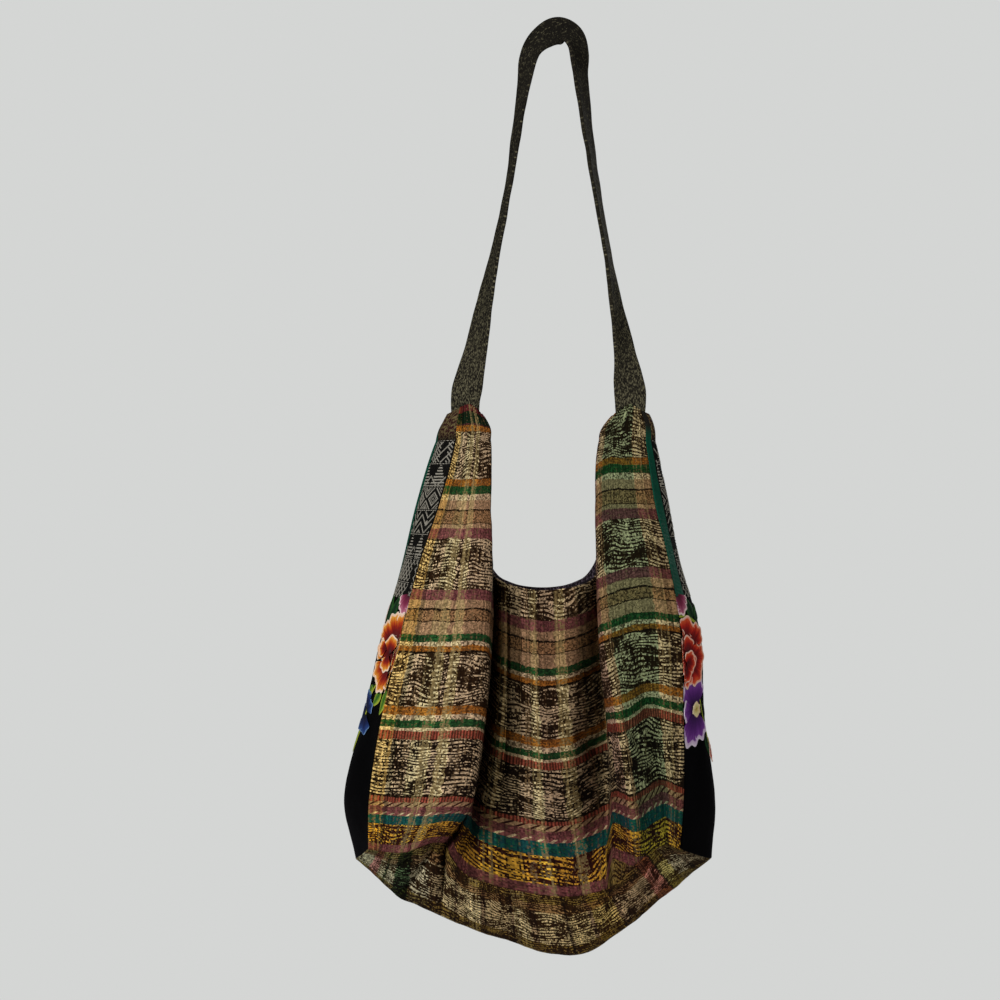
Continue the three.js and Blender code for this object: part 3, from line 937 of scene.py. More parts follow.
def necked(neck):
    """A function that says whether a cell is kept: below the neck, or in a shoulder strip beside it."""
    return lambda across, down: down > NECK or not neck[0] <= across <= neck[1]


front = cloth_piece(
    "front_cloth", FRONT_CELLS, front_place, front_flat, front_crease, [body_ikat, dark_lining],
    necked(FRONT_NECK), scooped(FRONT_NECK, FRONT_NECK_RISE),
)
dress(front, "front_panel", "ikat_cloth", FRONT_CUT, FRONT_AREA)

# %% [markdown]
# ## Back panel
# The back has the same cut and hangs nearly flat, with a few soft waves that grow towards the hem. It
# is made with the front's helpers and the same cloth, so the same stripes run over it.

# %% Back panel
BACK_CELLS = (100, 112)
BACK_SEED = 4.0
BACK_NECK = (1 / 5, 4 / 5)
BACK_NECK_RISE = 0.07
BACK_CUT = (0.285, 0.37)
BACK_AREA = 0.085
BACK_CREASES = rows(
    Crease,
    ((70, 120), (62, 300), 7.0, 1.6), ((120, 160), (128, 350), 9.0, 1.8),
    ((180, 130), (190, 320), 7.0, 1.6), ((40, 200), (24, 330), 6.0, 1.3),
    ((215, 190), (236, 330), 6.0, 1.3),
)
back_net = net(back_lines)
back_widths = lengths([back_net(share, WIDTH_DOWN) for share in TAPE])
back_lengths = lengths([back_net(BACK_NECK[0], share) for share in TAPE])


def back_flat(across, down):
    return at(back_widths, across), at(back_lengths, down)


def back_crease(across, down):
    u, v = back_flat(across, down)
    return uneven(BACK_CREASES, BACK_SEED, u, v, u, back_widths[-1] - u, back_lengths[-1] - v)


back = cloth_piece(
    "back_cloth", BACK_CELLS, back_net, back_flat, back_crease, [body_ikat, dark_lining],
    necked(BACK_NECK), scooped(BACK_NECK, BACK_NECK_RISE),
)
dress(back, "back_panel", "ikat_cloth", BACK_CUT, BACK_AREA)
print("back cloth is", round(back_widths[-1], 4), "m wide and", round(back_lengths[-1], 4), "m long")

# %% [markdown]
# ## Base panel
# The base is a separate piece of the same weave. Its dyed threads run along the bag, and its warp
# columns end in steep stripes of mauve, green and grey at both corners. It hangs from the front hem
# down to a sagging fold and up to the back hem. Each section across it is a smooth curve through these
# three lines.

# %% Cloth of the base
BASE_WIDTH = 130
BASE_LENGTH = 350
BASE_BANDS = rows(
    Band,
    (0, "olive", "umber", "ikat"), (9, "tan", "umber", "ikat"), (18, "cream", "umber", "ikat"),
    (50, "olive", "umber", "ikat"), (62, "cream", "umber", "ikat"), (96, "mauve", "plum", "mottled"),
    (101, "tan", "umber", "ikat"),
)
BASE_COLUMNS = rows(
    Column,
    (0, 90, 102, 95, 20), (13, 75, 42, 50, 20), (22, 95, 105, 95, 15), (30, 18, 26, 18, 5),
    (32, 95, 105, 100, 20), (40, 16, 30, 20, 5), (55, 80, 82, 78, 10), (75, 70, 60, 48, 5),
    (84, 34, 26, 20, 0), (87, 98, 90, 70, 10), (98, 36, 28, 22, 0), (101, 92, 82, 62, 10),
    (110, 115, 108, 85, 25), (123, 40, 30, 24, 0), (126, 80, 68, 50, 5), (150, 42, 32, 26, 0),
    (153, 108, 100, 78, 25), (168, 60, 46, 36, 0), (174, 92, 80, 58, 5), (200, 40, 32, 24, 0),
    (203, 96, 84, 56, 10), (222, 50, 38, 30, 0), (226, 104, 86, 42, 10), (250, 42, 30, 24, 0),
    (254, 82, 66, 52, 5), (284, 86, 40, 42, 25), (297, 28, 26, 18, 5), (299, 98, 96, 46, 25),
    (309, 88, 88, 80, 15), (322, 36, 30, 26, 5), (326, 88, 84, 74, 15),
)
base_ikat = ikat_cloth("base_ikat", BASE_BANDS, BASE_WIDTH, BASE_COLUMNS, BASE_LENGTH)
print(len(BASE_BANDS), "bands and", len(BASE_COLUMNS), "warp columns in the base")

# %% Lines of the base
KEEL = (
    (-168, -22, -685), (-138, -39, -706), (-130, -42, -711.5), (-120, -43, -715.5), (-60, -48, -738),
    (14, -50, -755), (50, -47, -736), (80, -42, -714), (127, -22, -685),
)


def at_reach(points, reach):
    """The point that lies a share of the way from the first x of a line to its last."""
    wanted = lerp(points[0].x, points[-1].x, reach)
    n = next(n for n in range(STEPS) if points[n + 1].x >= wanted or n == STEPS - 1)
    step = points[n + 1].x - points[n].x
    return points[n].lerp(points[n + 1], (wanted - points[n].x) / step)


front_hem = [front_place(share, 1) for share in TAPE]
back_hem = [back_net(1 - share, 1) for share in TAPE]
keel_points = [Vector(row) * MM for row in KEEL]
keel = [smooth_point(keel_points, share) for share in TAPE]
reaches = [(point.x - front_hem[0].x) / (front_hem[-1].x - front_hem[0].x) for point in front_hem]
base_sections = [[p, at_reach(keel, r), at_reach(back_hem, r)] for p, r in zip(front_hem, reaches)]
base_lengths = lengths([section[1] for section in base_sections])
print("the keel is", round(base_lengths[-1], 4), "m long")

# %% Base panel
BASE_CELLS = (160, 48)
BASE_SEED = 9.0
BASE_CUT = (0.14, 0.34)
BASE_AREA = 0.04
BASE_CREASES = rows(
    Crease,
    ((90, -20), (49, 58), 4.5, 6.0), ((60, 4), (34, 30), 4.0, 2.5), ((266, 2), (236, 44), 6.0, 3.5),
    ((288, 6), (300, 34), 4.0, 2.0), ((150, 8), (170, 40), 6.0, 1.6),
)


def base_place(across, down):
    n = min(int(across * STEPS), STEPS - 1)
    share = across * STEPS - n
    return smooth_point(base_sections[n], down).lerp(smooth_point(base_sections[n + 1], down), share)


base_widths = lengths([base_place(0.5, share) for share in TAPE])


def base_flat(across, down):
    return at(base_lengths, across), at(base_widths, down)


def base_crease(across, down):
    u, v = base_flat(across, down)
    calm = smoothstep(min(v, base_widths[-1] - v), 0, SEAM_CALM)
    inward = rolled(v, base_widths[-1] - v) + pressed(Vector((u, v)), BASE_CREASES) * calm
    return ripple(u, v, BASE_SEED) * calm - inward


base = cloth_piece("base_cloth", BASE_CELLS, base_place, base_flat, base_crease, [base_ikat, dark_lining])
dress(base, "base_panel", "ikat_cloth", BASE_CUT, BASE_AREA)
print("base cloth is", round(base_widths[-1], 4), "m wide")

# %% [markdown]
# ## Gussets
# Each side of the bag is a gusset between the front and the back seam. Its upper half is black brocade
# with a green ribbon along one edge, and its lower half is velvet. All three lie in one surface, so a
# small class keeps that surface as a table of points. Figures and stitches later ask it for a place so
# far from the front seam and so far down, with a lift above the cloth.

# %% Gusset surfaces
RIBBON_SHARE = 0.22
BROCADE_END = 0.5  # share of the way down at which the velvet begins
TABLE = (48, 160)
LAST_CELL = 0.9999  # a place on the far edge is read from the last cell


class Gusset:
    """The surface of one side. front says at which end of its width the front seam lies, 0 or 1."""

    def __init__(self, lines, front):
        self.net = net(lines)
        self.front = front
        across, down = TABLE
        self.points = [[self.net(i / across, j / down) for i in range(across + 1)] for j in range(down + 1)]
        self.widths = [lengths(row)[-1] for row in self.points]
        self.lengths = lengths([row[across // 2] for row in self.points])
        self.velvet_top = at(self.lengths, BROCADE_END)

    def down_share(self, length):
        n = next((n for n in range(TABLE[1]) if self.lengths[n + 1] >= length), TABLE[1] - 1)
        return (n + (length - self.lengths[n]) / (self.lengths[n + 1] - self.lengths[n])) / TABLE[1]

    def place(self, from_front, length, lift):
        """A point so far from the front seam, so far down the gusset and so high above its cloth's middle."""
        down = min(max(self.down_share(length), 0.0), LAST_CELL) * TABLE[1]
        share = from_front / at(self.widths, down / TABLE[1])
        across = min(max(1 - share if self.front else share, 0.0), LAST_CELL) * TABLE[0]
        i, j = int(across), int(down)
        a, b = self.points[j][i : i + 2]
        c, d = self.points[j + 1][i : i + 2]
        x, y = across - i, down - j
        normal = ((b - a).lerp(d - c, y)).cross((a - c).lerp(b - d, x)).normalized()
        return a.lerp(b, x).lerp(c.lerp(d, x), y) + lift * normal


gussets = {
    "left": Gusset([backs["left"], sides["left"], seams["left"]], front=1),
    "right": Gusset([seams["right"], sides["right"], backs["right"]], front=0),
}
for side, gusset in gussets.items():
    print(side, "gusset", round(gusset.lengths[-1], 3), "m long,", round(max(gusset.widths), 3), "m wide")

# %% [markdown]
# ## Brocade, ribbon and velvet
# The brocade's ground is plain black cotton, with dark red and khaki flecks at its top. The ribbon is
# ribbed across, which shows as fine ridges with painted shade in the grooves between them, and the
# velvet is so deep a black that only the sheen of its pile gives it form. Velvet is the one cloth here
# that is lightest where it is seen edge on, and the shader's sheen does that.

# %% Brocade, ribbon and velvet finishes
RIB_PITCH = 1.1 * MM
FLECKED_TOP = (16 * MM, 27 * MM)  # the brocade's flecks end between these places down
DARK_TOP = (10 * MM, 26 * MM)  # and the ribbon's dark top

brocade = Finish("brocade_ground", roughness=0.95, specular=0.1)
across, down = brocade.cloth_place()
thread = brocade.noise(across * 900, down * 500, detail=1.0)
brocade.bump(brocade.wave(across, WARP_PITCH) + brocade.wave(down, WEFT_PITCH), depth=0.15 * MM)
ground = brocade.mix(brocade.between(thread, 0.35, 0.8), tint(7, 6, 5), tint(24, 22, 19))
flecks = brocade.mix(brocade.between(thread, 0.42, 0.66), tint(44, 16, 18), tint(104, 92, 60))
brocade_ground = brocade.colour(brocade.mix(brocade.between(down, *FLECKED_TOP), flecks, ground))

ribbed = Finish("green_ribbon", roughness=0.7, specular=0.15)
across, down = ribbed.cloth_place()
ribs = ribbed.wave(down, RIB_PITCH)
ribbed.bump(ribs, depth=0.3 * MM)
patchy = ribbed.noise(across * 120, down * 35, detail=2.0)
dyed = ribbed.mix(patchy, tint(0, 66, 48), tint(6, 104, 78))
# painted shade: the grooves between the ribs are darker
rib_shaded = ribbed.mix(ribbed.spread(ribs, 0.5, 1.0), tint(0, 26, 20), dyed)
green_ribbon = ribbed.colour(ribbed.mix(ribbed.between(down, *DARK_TOP), tint(26, 22, 16), rib_shaded))

pile = Finish("black_velvet", roughness=1.0, specular=0.03, sheen=0.1)
pile.shader.inputs["Sheen Roughness"].default_value = 0.35
pile.shader.inputs["Sheen Tint"].default_value = tint(150, 146, 156)
across, down = pile.cloth_place()
nap = pile.noise(across * 1500, down * 900, detail=2.0)
brushed = pile.noise(across * 40, down * 22, detail=1.0)
pile.bump(nap, depth=0.2 * MM)
black_velvet = pile.colour(pile.mix(nap * brushed, tint(1, 1, 1), tint(9, 8, 10)))
print("brocade, ribbon and velvet finished")

# %% Gusset pieces
# span and drop are the shares of the gusset's width and length that a piece takes.
GussetPiece = namedtuple("GussetPiece", "name span drop cells material slot cut area")
UPPER, LOWER = (0, BROCADE_END), (BROCADE_END, 1)
NARROW, WIDE, WHOLE = (0, RIBBON_SHARE), (RIBBON_SHARE, 1), (0, 1)
GUSSET_PIECES = [
    GussetPiece("ribbon", NARROW, UPPER, (8, 90), green_ribbon, "green_ribbon", (0.014, 0.165), 0.0018),
    GussetPiece("brocade", WIDE, UPPER, (26, 90), brocade_ground, "brocade_cloth", (0.055, 0.18), 0.006),
    GussetPiece("velvet", WHOLE, LOWER, (44, 90), black_velvet, "velvet", (0.098, 0.22), 0.0175),
]
SEAM_INSET = 0.015  # the velvet starts this share of its width behind the front seam, under the front's edge
GUSSET_SEED = 20.0
GUSSET_RIPPLE = 0.6  # share of the panels' ripples
GUSSET_CALM = 60 * MM


def gusset_piece(side, row):
    gusset = gussets[side]

    def shares(across, down):
        drop = lerp(*row.drop, down)
        inset = SEAM_INSET * smoothstep(drop, *LAP_START)
        inside = lerp(*row.span, across) * (1 - inset)
        return inside if gusset.front else inside + inset, drop

    def place(across, down):
        return gusset.net(*shares(across, down))

    def flat(across, down):
        s, t = shares(across, down)
        return s * at(gusset.widths, t), at(gusset.lengths, t)

    def crease(across, down):
        u, v = flat(across, down)
        edge = min(u, at(gusset.widths, shares(across, down)[1]) - u, gusset.lengths[-1] - v)
        calm = smoothstep(edge, 0, SEAM_CALM) * smoothstep(v, 0, GUSSET_CALM)
        return ripple(u, v, GUSSET_SEED) * GUSSET_RIPPLE * calm

    name = f"{side}_{row.name}"
    piece = cloth_piece(f"{name}_cloth", row.cells, place, flat, crease, [row.material, dark_lining])
    dress(piece, name, row.slot, row.cut, row.area)


for side in gussets:
    for row in GUSSET_PIECES:
        gusset_piece(side, row)

# %% [markdown]
# ## Brocaded figures
# The figures of the brocade are extra weft threads that lie on top of the ground in short floats. They
# are charted on squared paper in the weaver's way: bands of nested diamonds, striped triangles, lattice
# and chevrons. A grid with one row of cells for each thread, and a narrow row for each gap, is carried
# on to the gusset, and every cell that the chart leaves empty is deleted.

# %% Chart of the brocade
BAND_ROWS = 31
BORDER_ROWS = 3  # a line of stitches divides two bands
MOTIF = 28
BAND_ORDER = (3, 1, 2, 4, 1, 0, 0)


def charted(column, row):
    """Whether the chart has a float in this square."""
    band, line = divmod(row, BAND_ROWS)
    if line < BORDER_ROWS:
        return line == 1 and column % 5 < 3
    from_axis = abs(column % MOTIF - MOTIF // 2)
    diamond = from_axis + abs(line - (BAND_ROWS + BORDER_ROWS) // 2)
    lattice = (column + line) % 10 < 2 or (column - line) % 10 < 2
    triangles = line % 4 > 1 and from_axis < line * 0.45 or (line + from_axis) % BAND_ROWS < 2
    diamonds = diamond % 8 < 2 or diamond % 16 == 5
    diagonals = (column + line) % 6 < 2 and from_axis > 5 or (column - line) % 14 < 2
    chevrons = (line + from_axis) % 10 < 2 or diamond < 4
    figures = (lattice, triangles, diamonds, diagonals, chevrons)
    return figures[BAND_ORDER[band % len(BAND_ORDER)]]


print("the chart has", len(BAND_ORDER), "bands of", BAND_ROWS, "rows")

# %% Brocaded figures
FLOAT_PITCH = 0.66 * MM
FLOAT_SHARE = 0.66  # part of the pitch that the thread fills
FLOAT_LENGTH = 0.66 * MM  # one square of the chart across
FLOAT_LIFT = 1.05 * MM
FLOAT_THICKNESS = 0.4 * MM
FIGURE_TOP = 24 * MM  # the figures start this far down
EDGE_ALLOWANCE = 1.2 * MM  # and stay this far from the brocade's edges

cotton = Finish("brocade_float", roughness=0.9, specular=0.1)
across, down = cotton.cloth_place()
twist = cotton.noise(across * 900, down * 1300, detail=1.0)
cotton.bump(twist, depth=0.15 * MM)
brocade_float = cotton.colour(cotton.mix(twist, tint(104, 100, 90), tint(212, 205, 188)))


def float_room(gusset, length):
    """From where to where a float may lie on the gusset, from the front seam."""
    width = at(gusset.widths, gusset.down_share(length))
    ribbon = RIBBON_SHARE * width
    near, far = (0, width - ribbon) if gusset.front else (ribbon, width)
    return near + EDGE_ALLOWANCE, far - EDGE_ALLOWANCE


def brocade_figures(side):
    gusset = gussets[side]
    rows = int((gusset.velvet_top - FIGURE_TOP) / FLOAT_PITCH)
    columns = int(max(gusset.widths[: TABLE[1] // 2]) / FLOAT_LENGTH)
    cloth = bmesh.new()
    bmesh.ops.create_grid(cloth, x_segments=columns, y_segments=2 * rows, size=0.5)
    squares = {v: (round((v.co.x + 0.5) * columns), round((0.5 - v.co.y) * 2 * rows)) for v in cloth.verts}

    def flat(vertex):
        column, edge = squares[vertex]
        thread, lower = divmod(edge, 2)
        return column * FLOAT_LENGTH, FIGURE_TOP + (thread + lower * FLOAT_SHARE) * FLOAT_PITCH

    empty = []
    for face in cloth.faces:
        column = min(squares[v][0] for v in face.verts)
        edge = min(squares[v][1] for v in face.verts)
        near, far = float_room(gusset, FIGURE_TOP + edge / 2 * FLOAT_PITCH)
        inside = near < column * FLOAT_LENGTH and (column + 1) * FLOAT_LENGTH < far
        if edge % 2 or not inside or not charted(column, edge // 2):
            empty.append(face)
    bmesh.ops.delete(cloth, geom=empty, context="FACES")
    uv = cloth.loops.layers.uv.new("cloth")
    for face in cloth.faces:
        for loop in face.loops:
            loop[uv].uv = flat(loop.vert)
    for vertex in cloth.verts:
        vertex.co = gusset.place(*flat(vertex), FLOAT_LIFT)
    if gusset.front:
        bmesh.ops.reverse_faces(cloth, faces=cloth.faces)
    piece = sewn(f"{side}_brocade_figures", cloth, [brocade_float])
    piece.modifiers.new("thread", "SOLIDIFY").thickness = FLOAT_THICKNESS
    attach(piece, "root")
    print(piece.name, len(piece.data.polygons), "squares of float")


for side in gussets:
    brocade_figures(side)

# %% [markdown]
# ## Strap
# The strap is one long band of dark brown weave, folded over and sewn flat. It rises from between the
# left shoulders, turns from facing front to facing sideways, goes over the top on its edge and comes
# down to the right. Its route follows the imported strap's: a row for each turn, with the lean of the
# band. Subdivision rounds its edges, and light flecks run along it, more of them near its ends.

# %% Route of the strap
StrapRow = namedtuple("StrapRow", "x z lean width")
STRAP_ROWS = rows(
    StrapRow,
    (-78, -320, 90, 23), (-78, -302, 90, 25), (-70, -264, 50, 26), (-61, -217, 28, 28),
    (-52, -175, 14, 30), (-41, -120, 10, 30), (-32, -60, 14, 30), (-27, -30, 22, 30), (-22.5, -8, 34, 31),
    (-13, 5, 54, 31), (0, 12, 66, 31), (11.5, 9.5, 54, 31), (17.5, -3, 38, 31), (19.5, -22, 29, 30),
    (25, -68, 21, 30), (36, -140, 15, 30), (44, -184, 16, 30), (50, -220, 26, 28), (58, -264, 50, 26),
    (62.5, -302, 90, 27), (62.5, -320, 90, 24),
)
ROUTE_STEPS = 800

strap_route = [Vector((row.x, 0, row.z)) * MM for row in STRAP_ROWS]
strap_turns = [Vector((n, row.lean, row.width)) for n, row in enumerate(STRAP_ROWS)]
route_lengths = lengths([smooth_point(strap_route, n / ROUTE_STEPS) for n in range(ROUTE_STEPS + 1)])
STRAP_LENGTH = route_lengths[-1]


def route_share(length):
    n = next((n for n in range(ROUTE_STEPS) if route_lengths[n + 1] >= length), ROUTE_STEPS - 1)
    return (n + (length - route_lengths[n]) / (route_lengths[n + 1] - route_lengths[n])) / ROUTE_STEPS


print("strap is", round(STRAP_LENGTH, 4), "m long")

# %% Weave of the strap
YARN_PITCH = 0.7 * MM
PICK_PITCH = 1.1 * MM
STREAKS = 420  # to the metre along a yarn
STREAK_SHIFT = 30  # each yarn starts this many streaks further on, at most
YARN_STEP = 2.3  # and reads the noise this far from the last yarn
FLECK_EDGE = (0.56, 0.86)
END_FLECKS = 0.28  # how much more the ends are flecked

woven = Finish("strap_weave", roughness=0.95, specular=0.1)
across, down = woven.cloth_place()
yarn = (across / YARN_PITCH).floor()
streak = woven.noise(woven.dice(yarn, 2.5) * STREAK_SHIFT + down * STREAKS, yarn * YARN_STEP, detail=2.0)
fade = woven.noise(across * 30, down * 14, detail=2.0)
from_middle = woven.math("ABSOLUTE", down / STRAP_LENGTH - 0.5)
flecked = woven.between(from_middle * END_FLECKS + streak, *FLECK_EDGE)
ground = woven.mix(fade, tint(17, 15, 12), tint(42, 38, 31))
woven.bump(woven.wave(across, YARN_PITCH) + woven.wave(down, PICK_PITCH), depth=0.3 * MM)
strap_weave = woven.colour(woven.mix(flecked, ground, tint(124, 118, 92)))
print("strap weave finished")

# %% Strap
STRAP_CELLS = (10, 300)
STRAP_WIDTH = 30 * MM
STRAP_THICKNESS = 3.2 * MM
STRAP_CUT = (0.03, 0.72)
FRAY = 0.05  # how far the edges wander, as a share of the width
FRAYS = 40  # along the strap
FRAY_SEED = 5.0
HOLLOW = 0.35 * MM  # the band's middle lies this much lower than its quarters
PUCKER = 0.6 * MM
PUCKERS = (60, 55)  # to the metre, across and down
PUCKER_SEED = 3.0


def strap_place(across, down):
    share = route_share(down * STRAP_LENGTH)
    step = 0.5 / ROUTE_STEPS
    ahead = smooth_point(strap_route, min(share + step, 1)) - smooth_point(strap_route, max(share - step, 0))
    along = ahead.normalized()
    _, lean, width = smooth_point(strap_turns, share)
    outward = Vector((-along.z, 0, along.x))
    sideways = Vector((0, 1, 0)) * math.cos(math.radians(lean)) + outward * math.sin(math.radians(lean))
    frayed = 1 + FRAY * noise.noise(Vector((down * FRAYS, round(across), FRAY_SEED)))
    return smooth_point(strap_route, share) + sideways * (across - 0.5) * width * frayed * MM


def strap_flat(across, down):
    return across * STRAP_WIDTH, down * STRAP_LENGTH


def strap_crease(across, down):
    u, v = strap_flat(across, down)
    hollow = HOLLOW * math.cos(2 * math.pi * (across - 0.5))
    return noise.noise(Vector((u * PUCKERS[0], v * PUCKERS[1], PUCKER_SEED))) * PUCKER - hollow


strap = cloth_piece(
    "strap_band", STRAP_CELLS, strap_place, strap_flat, strap_crease, [strap_weave], wall=STRAP_THICKNESS
)
smooth = strap.modifiers.new("round edges", "SUBSURF")
smooth.levels = smooth.render_levels = 1
dress(strap, "strap", "strap_cloth", STRAP_CUT)

# %% [markdown]
# ## Embroidery
# The flowers are satin stitch: threads lie side by side from the root of a petal to its tip, and shade
# from a dark root to a light tip. One grid makes a whole petal. Its columns are the threads, and every
# second column is lifted, so that each thread is a small ridge that catches the light. A narrow light
# edge is stitched round the tip. The colour of every thread is painted on to the mesh, and one finish
# reads it.

# %% Silks
# colours along a thread, from its root at 0 to its tip at 1
SHADES = {
    "orange rose": [
        (0, (70, 3, 6)),
        (0.42, (112, 8, 6)),
        (0.62, (178, 40, 8)),
        (0.78, (222, 118, 22)),
        (1, (244, 200, 84)),
    ],
    "red rose": [(0, (66, 2, 6)), (0.5, (122, 8, 8)), (0.74, (196, 34, 14)), (1, (240, 108, 54))],
    "mauve bud": [(0, (62, 6, 24)), (0.55, (136, 42, 76)), (1, (206, 128, 152))],
    "pansy": [(0, (26, 4, 40)), (0.45, (76, 22, 104)), (0.85, (122, 56, 150)), (1, (176, 122, 196))],
    "blue flower": [(0, (3, 5, 24)), (0.6, (12, 26, 74)), (1, (38, 70, 134))],
    "dark leaf": [(0, (4, 30, 14)), (0.6, (14, 60, 24)), (1, (44, 92, 32))],
    "light leaf": [(0, (28, 84, 30)), (0.5, (96, 138, 34)), (1, (186, 190, 62))],
    "salmon edge": [(0, (240, 150, 116)), (1, (252, 222, 204))],
    "pink edge": [(0, (232, 190, 190)), (1, (248, 226, 222))],
    "gold edge": [(0, (244, 190, 150)), (1, (252, 230, 208))],
    "lilac edge": [(0, (206, 172, 212)), (1, (236, 222, 236))],
    "sky edge": [(0, (34, 62, 118)), (1, (112, 146, 186))],
    "yellow heart": [(0, (206, 176, 84)), (1, (246, 236, 178))],
    "stem": [(0, (92, 128, 34)), (1, (186, 190, 62))],
}


def shade_at(shade, place):
    """The colour at a place along a thread, between the stops of a shade."""
    stops = [(share, tint(*colour)) for share, colour in SHADES[shade]]
    for (low, first), (high, second) in zip(stops, stops[1:]):
        if place <= high:
            share = max(place - low, 0) / (high - low)
            return [lerp(a, b, share) for a, b in zip(first, second)]
    return stops[-1][1]


floss = Finish("embroidery_floss", roughness=0.6, specular=0.2, sheen=0.05)
painted = floss.node("ShaderNodeAttribute", {"attribute_name": "thread"}, {}).outputs["Color"]
strand = floss.speckle(2600.0, detail=1.0)
floss.bump(strand, depth=0.12 * MM)
shine = floss.spread(strand, 0.7, 1.25)
silk = floss.colour(floss.times(painted, floss.join(shine, shine, shine)))
print(len(SHADES), "shades of silk")

# %% Hoop and satin stitch
# lengths and lifts of the stitching are in millimetres
THREAD_PITCH = 0.6
STITCH_LIFT = 0.75  # half the velvet's thickness, so that other lifts count from its surface
CROWN = 0.55  # how high a patch of satin swells
THREAD_RIDGE = 0.28
SHADE_SHIFT = 0.09  # each thread changes colour a little sooner or later


def spoke(centre, radius, angle):
    """A point round a centre. Angle 0 is up, and it turns away from the front seam."""
    return centre + radius * Vector((math.sin(angle), -math.cos(angle)))


class Hoop:
    """An embroidery hoop over a gusset's velvet. Places are millimetres from the front seam and down."""

    def __init__(self, side, seed):
        self.side = side
        self.gusset = gussets[side]
        self.cloth = bmesh.new()
        self.paint = self.cloth.verts.layers.float_color.new("thread")
        self.dice = random.Random(seed)

    def place(self, spot, lift):
        return self.gusset.place(spot.x * MM, self.gusset.velvet_top + spot.y * MM, (STITCH_LIFT + lift) * MM)

    def satin(self, start, end, threads, rows, lift, shade):
        """Threads from a start line to an end line, which both take a share of 0 to 1."""
        columns = 2 * threads
        grid = bmesh.ops.create_grid(self.cloth, x_segments=columns, y_segments=rows, size=0.5)["verts"]
        shifts = [self.dice.uniform(-SHADE_SHIFT, SHADE_SHIFT) for _ in range(threads + 1)]
        for vertex in grid:
            share, along = vertex.co.x + 0.5, vertex.co.y + 0.5
            column = round(share * columns)
            spot = start(share).lerp(end(share), along)
            crown = CROWN * math.sqrt(max(1 - (2 * share - 1) ** 2, 0)) * (1 - (2 * along - 1) ** 4)
            ridge = THREAD_RIDGE if column % 2 else 0.0
            vertex[self.paint] = shade_at(shade, along + shifts[column // 2])
            vertex.co = self.place(spot, lift + crown + ridge)
        faces = list({face for vertex in grid for face in vertex.link_faces})
        middle = start(0.5).lerp(end(0.5), 0.5)
        outward = self.place(middle, 1) - self.place(middle, 0)
        for face in faces:
            face.normal_update()
        if sum(face.normal.dot(outward) for face in faces) < 0:
            bmesh.ops.reverse_faces(self.cloth, faces=faces)

    def finish(self):
        for face in self.cloth.faces:
            face.smooth = True
        piece = sewn(f"{self.side}_embroidery", self.cloth, [silk])
        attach(piece, "root")
        print(piece.name, len(piece.data.polygons), "faces of stitching")


print("satin threads lie", THREAD_PITCH, "mm apart")

# %% Petals and flowers
PETAL_ROWS, EDGE_ROWS = 6, 2
LEAST_THREADS = 4
SCALLOPS = (2.0, 3.0)
SCALLOP_DEPTH = 0.055
TIP_ROUNDING = 0.2
ROOT_SPREAD = 0.75  # share of the spread that a petal has at its root
FULLNESS = 1.6  # a petal's width in half spreads, which is under 2 because its sides slope in
PETAL_RIM = 0.95  # share of a petal at which its light edge begins
RIM_END = 1.03  # it ends just past the tip
PETAL_STEP = 0.2  # how much higher the next petal lies
PETAL_INNER = 1.0
RING_STEP, RING_TURN = 0.45, 25
ANGLE_PLAY, REACH_PLAY = (-0.14, 0.14), (0.86, 1.08)


def petal(hoop, centre, angle, inner, outer, spread, shade, edge, lift, rim=PETAL_RIM):
    """A fan of threads with a scalloped tip, and a light edge from the rim on."""
    scallops = hoop.dice.uniform(*SCALLOPS)

    def reach(share):
        side = 2 * share - 1
        tip = 1 - TIP_ROUNDING * side**2 + SCALLOP_DEPTH * math.cos(scallops * math.pi * side)
        return inner + (outer - inner) * tip

    def line(depth):
        def point(share):
            turn = angle + spread * (2 * share - 1) * lerp(ROOT_SPREAD, 1, depth)
            return spoke(centre, lerp(inner, reach(share), depth), turn)

        return point

    threads = max(LEAST_THREADS, int(FULLNESS * spread * outer / THREAD_PITCH))
    hoop.satin(line(0), line(1), threads, PETAL_ROWS, lift, shade)
    hoop.satin(line(rim), line(RIM_END), threads, EDGE_ROWS, lift + PETAL_STEP, edge)


def petals(hoop, rows, shade, edge, lift, rim=PETAL_RIM):
    """Petals that are laid one over the other, each from its own root."""
    for n, row in enumerate(rows):
        height = lift + PETAL_STEP * n
        angle = math.radians(row.angle)
        petal(hoop, Vector(row.root), angle, PETAL_INNER, row.reach, row.spread, shade, edge, height, rim)


def flower(hoop, centre, radius, turn, rings, shade, edge, lift):
    """Rings of petals from the outside in, each a little higher than the last."""
    for n, ring in enumerate(rings):
        for k in range(ring.petals):
            angle = math.radians(turn + RING_TURN * n) + 2 * math.pi * k / ring.petals
            angle += hoop.dice.uniform(*ANGLE_PLAY)
            outer = ring.outer * radius * hoop.dice.uniform(*REACH_PLAY)
            spread = ring.overlap * math.pi / ring.petals
            height = lift + RING_STEP * n + PETAL_STEP * (k % 2)
            petal(hoop, Vector(centre), angle, ring.inner * radius, outer, spread, shade, edge, height)


print("a petal has", PETAL_ROWS, "rows of cells and its edge", EDGE_ROWS)

# %% Leaves and stems
LEAF_ROWS = 4
LEAST_LEAF_THREADS = 5
LEAF_BEND = (-0.35, 0.35)
LEAF_SLANT = 0.14  # the threads run forward by this share of the rib
LEAF_FULLNESS = 0.8
STEM_ROWS = 2
STEM_STEP = 0.01


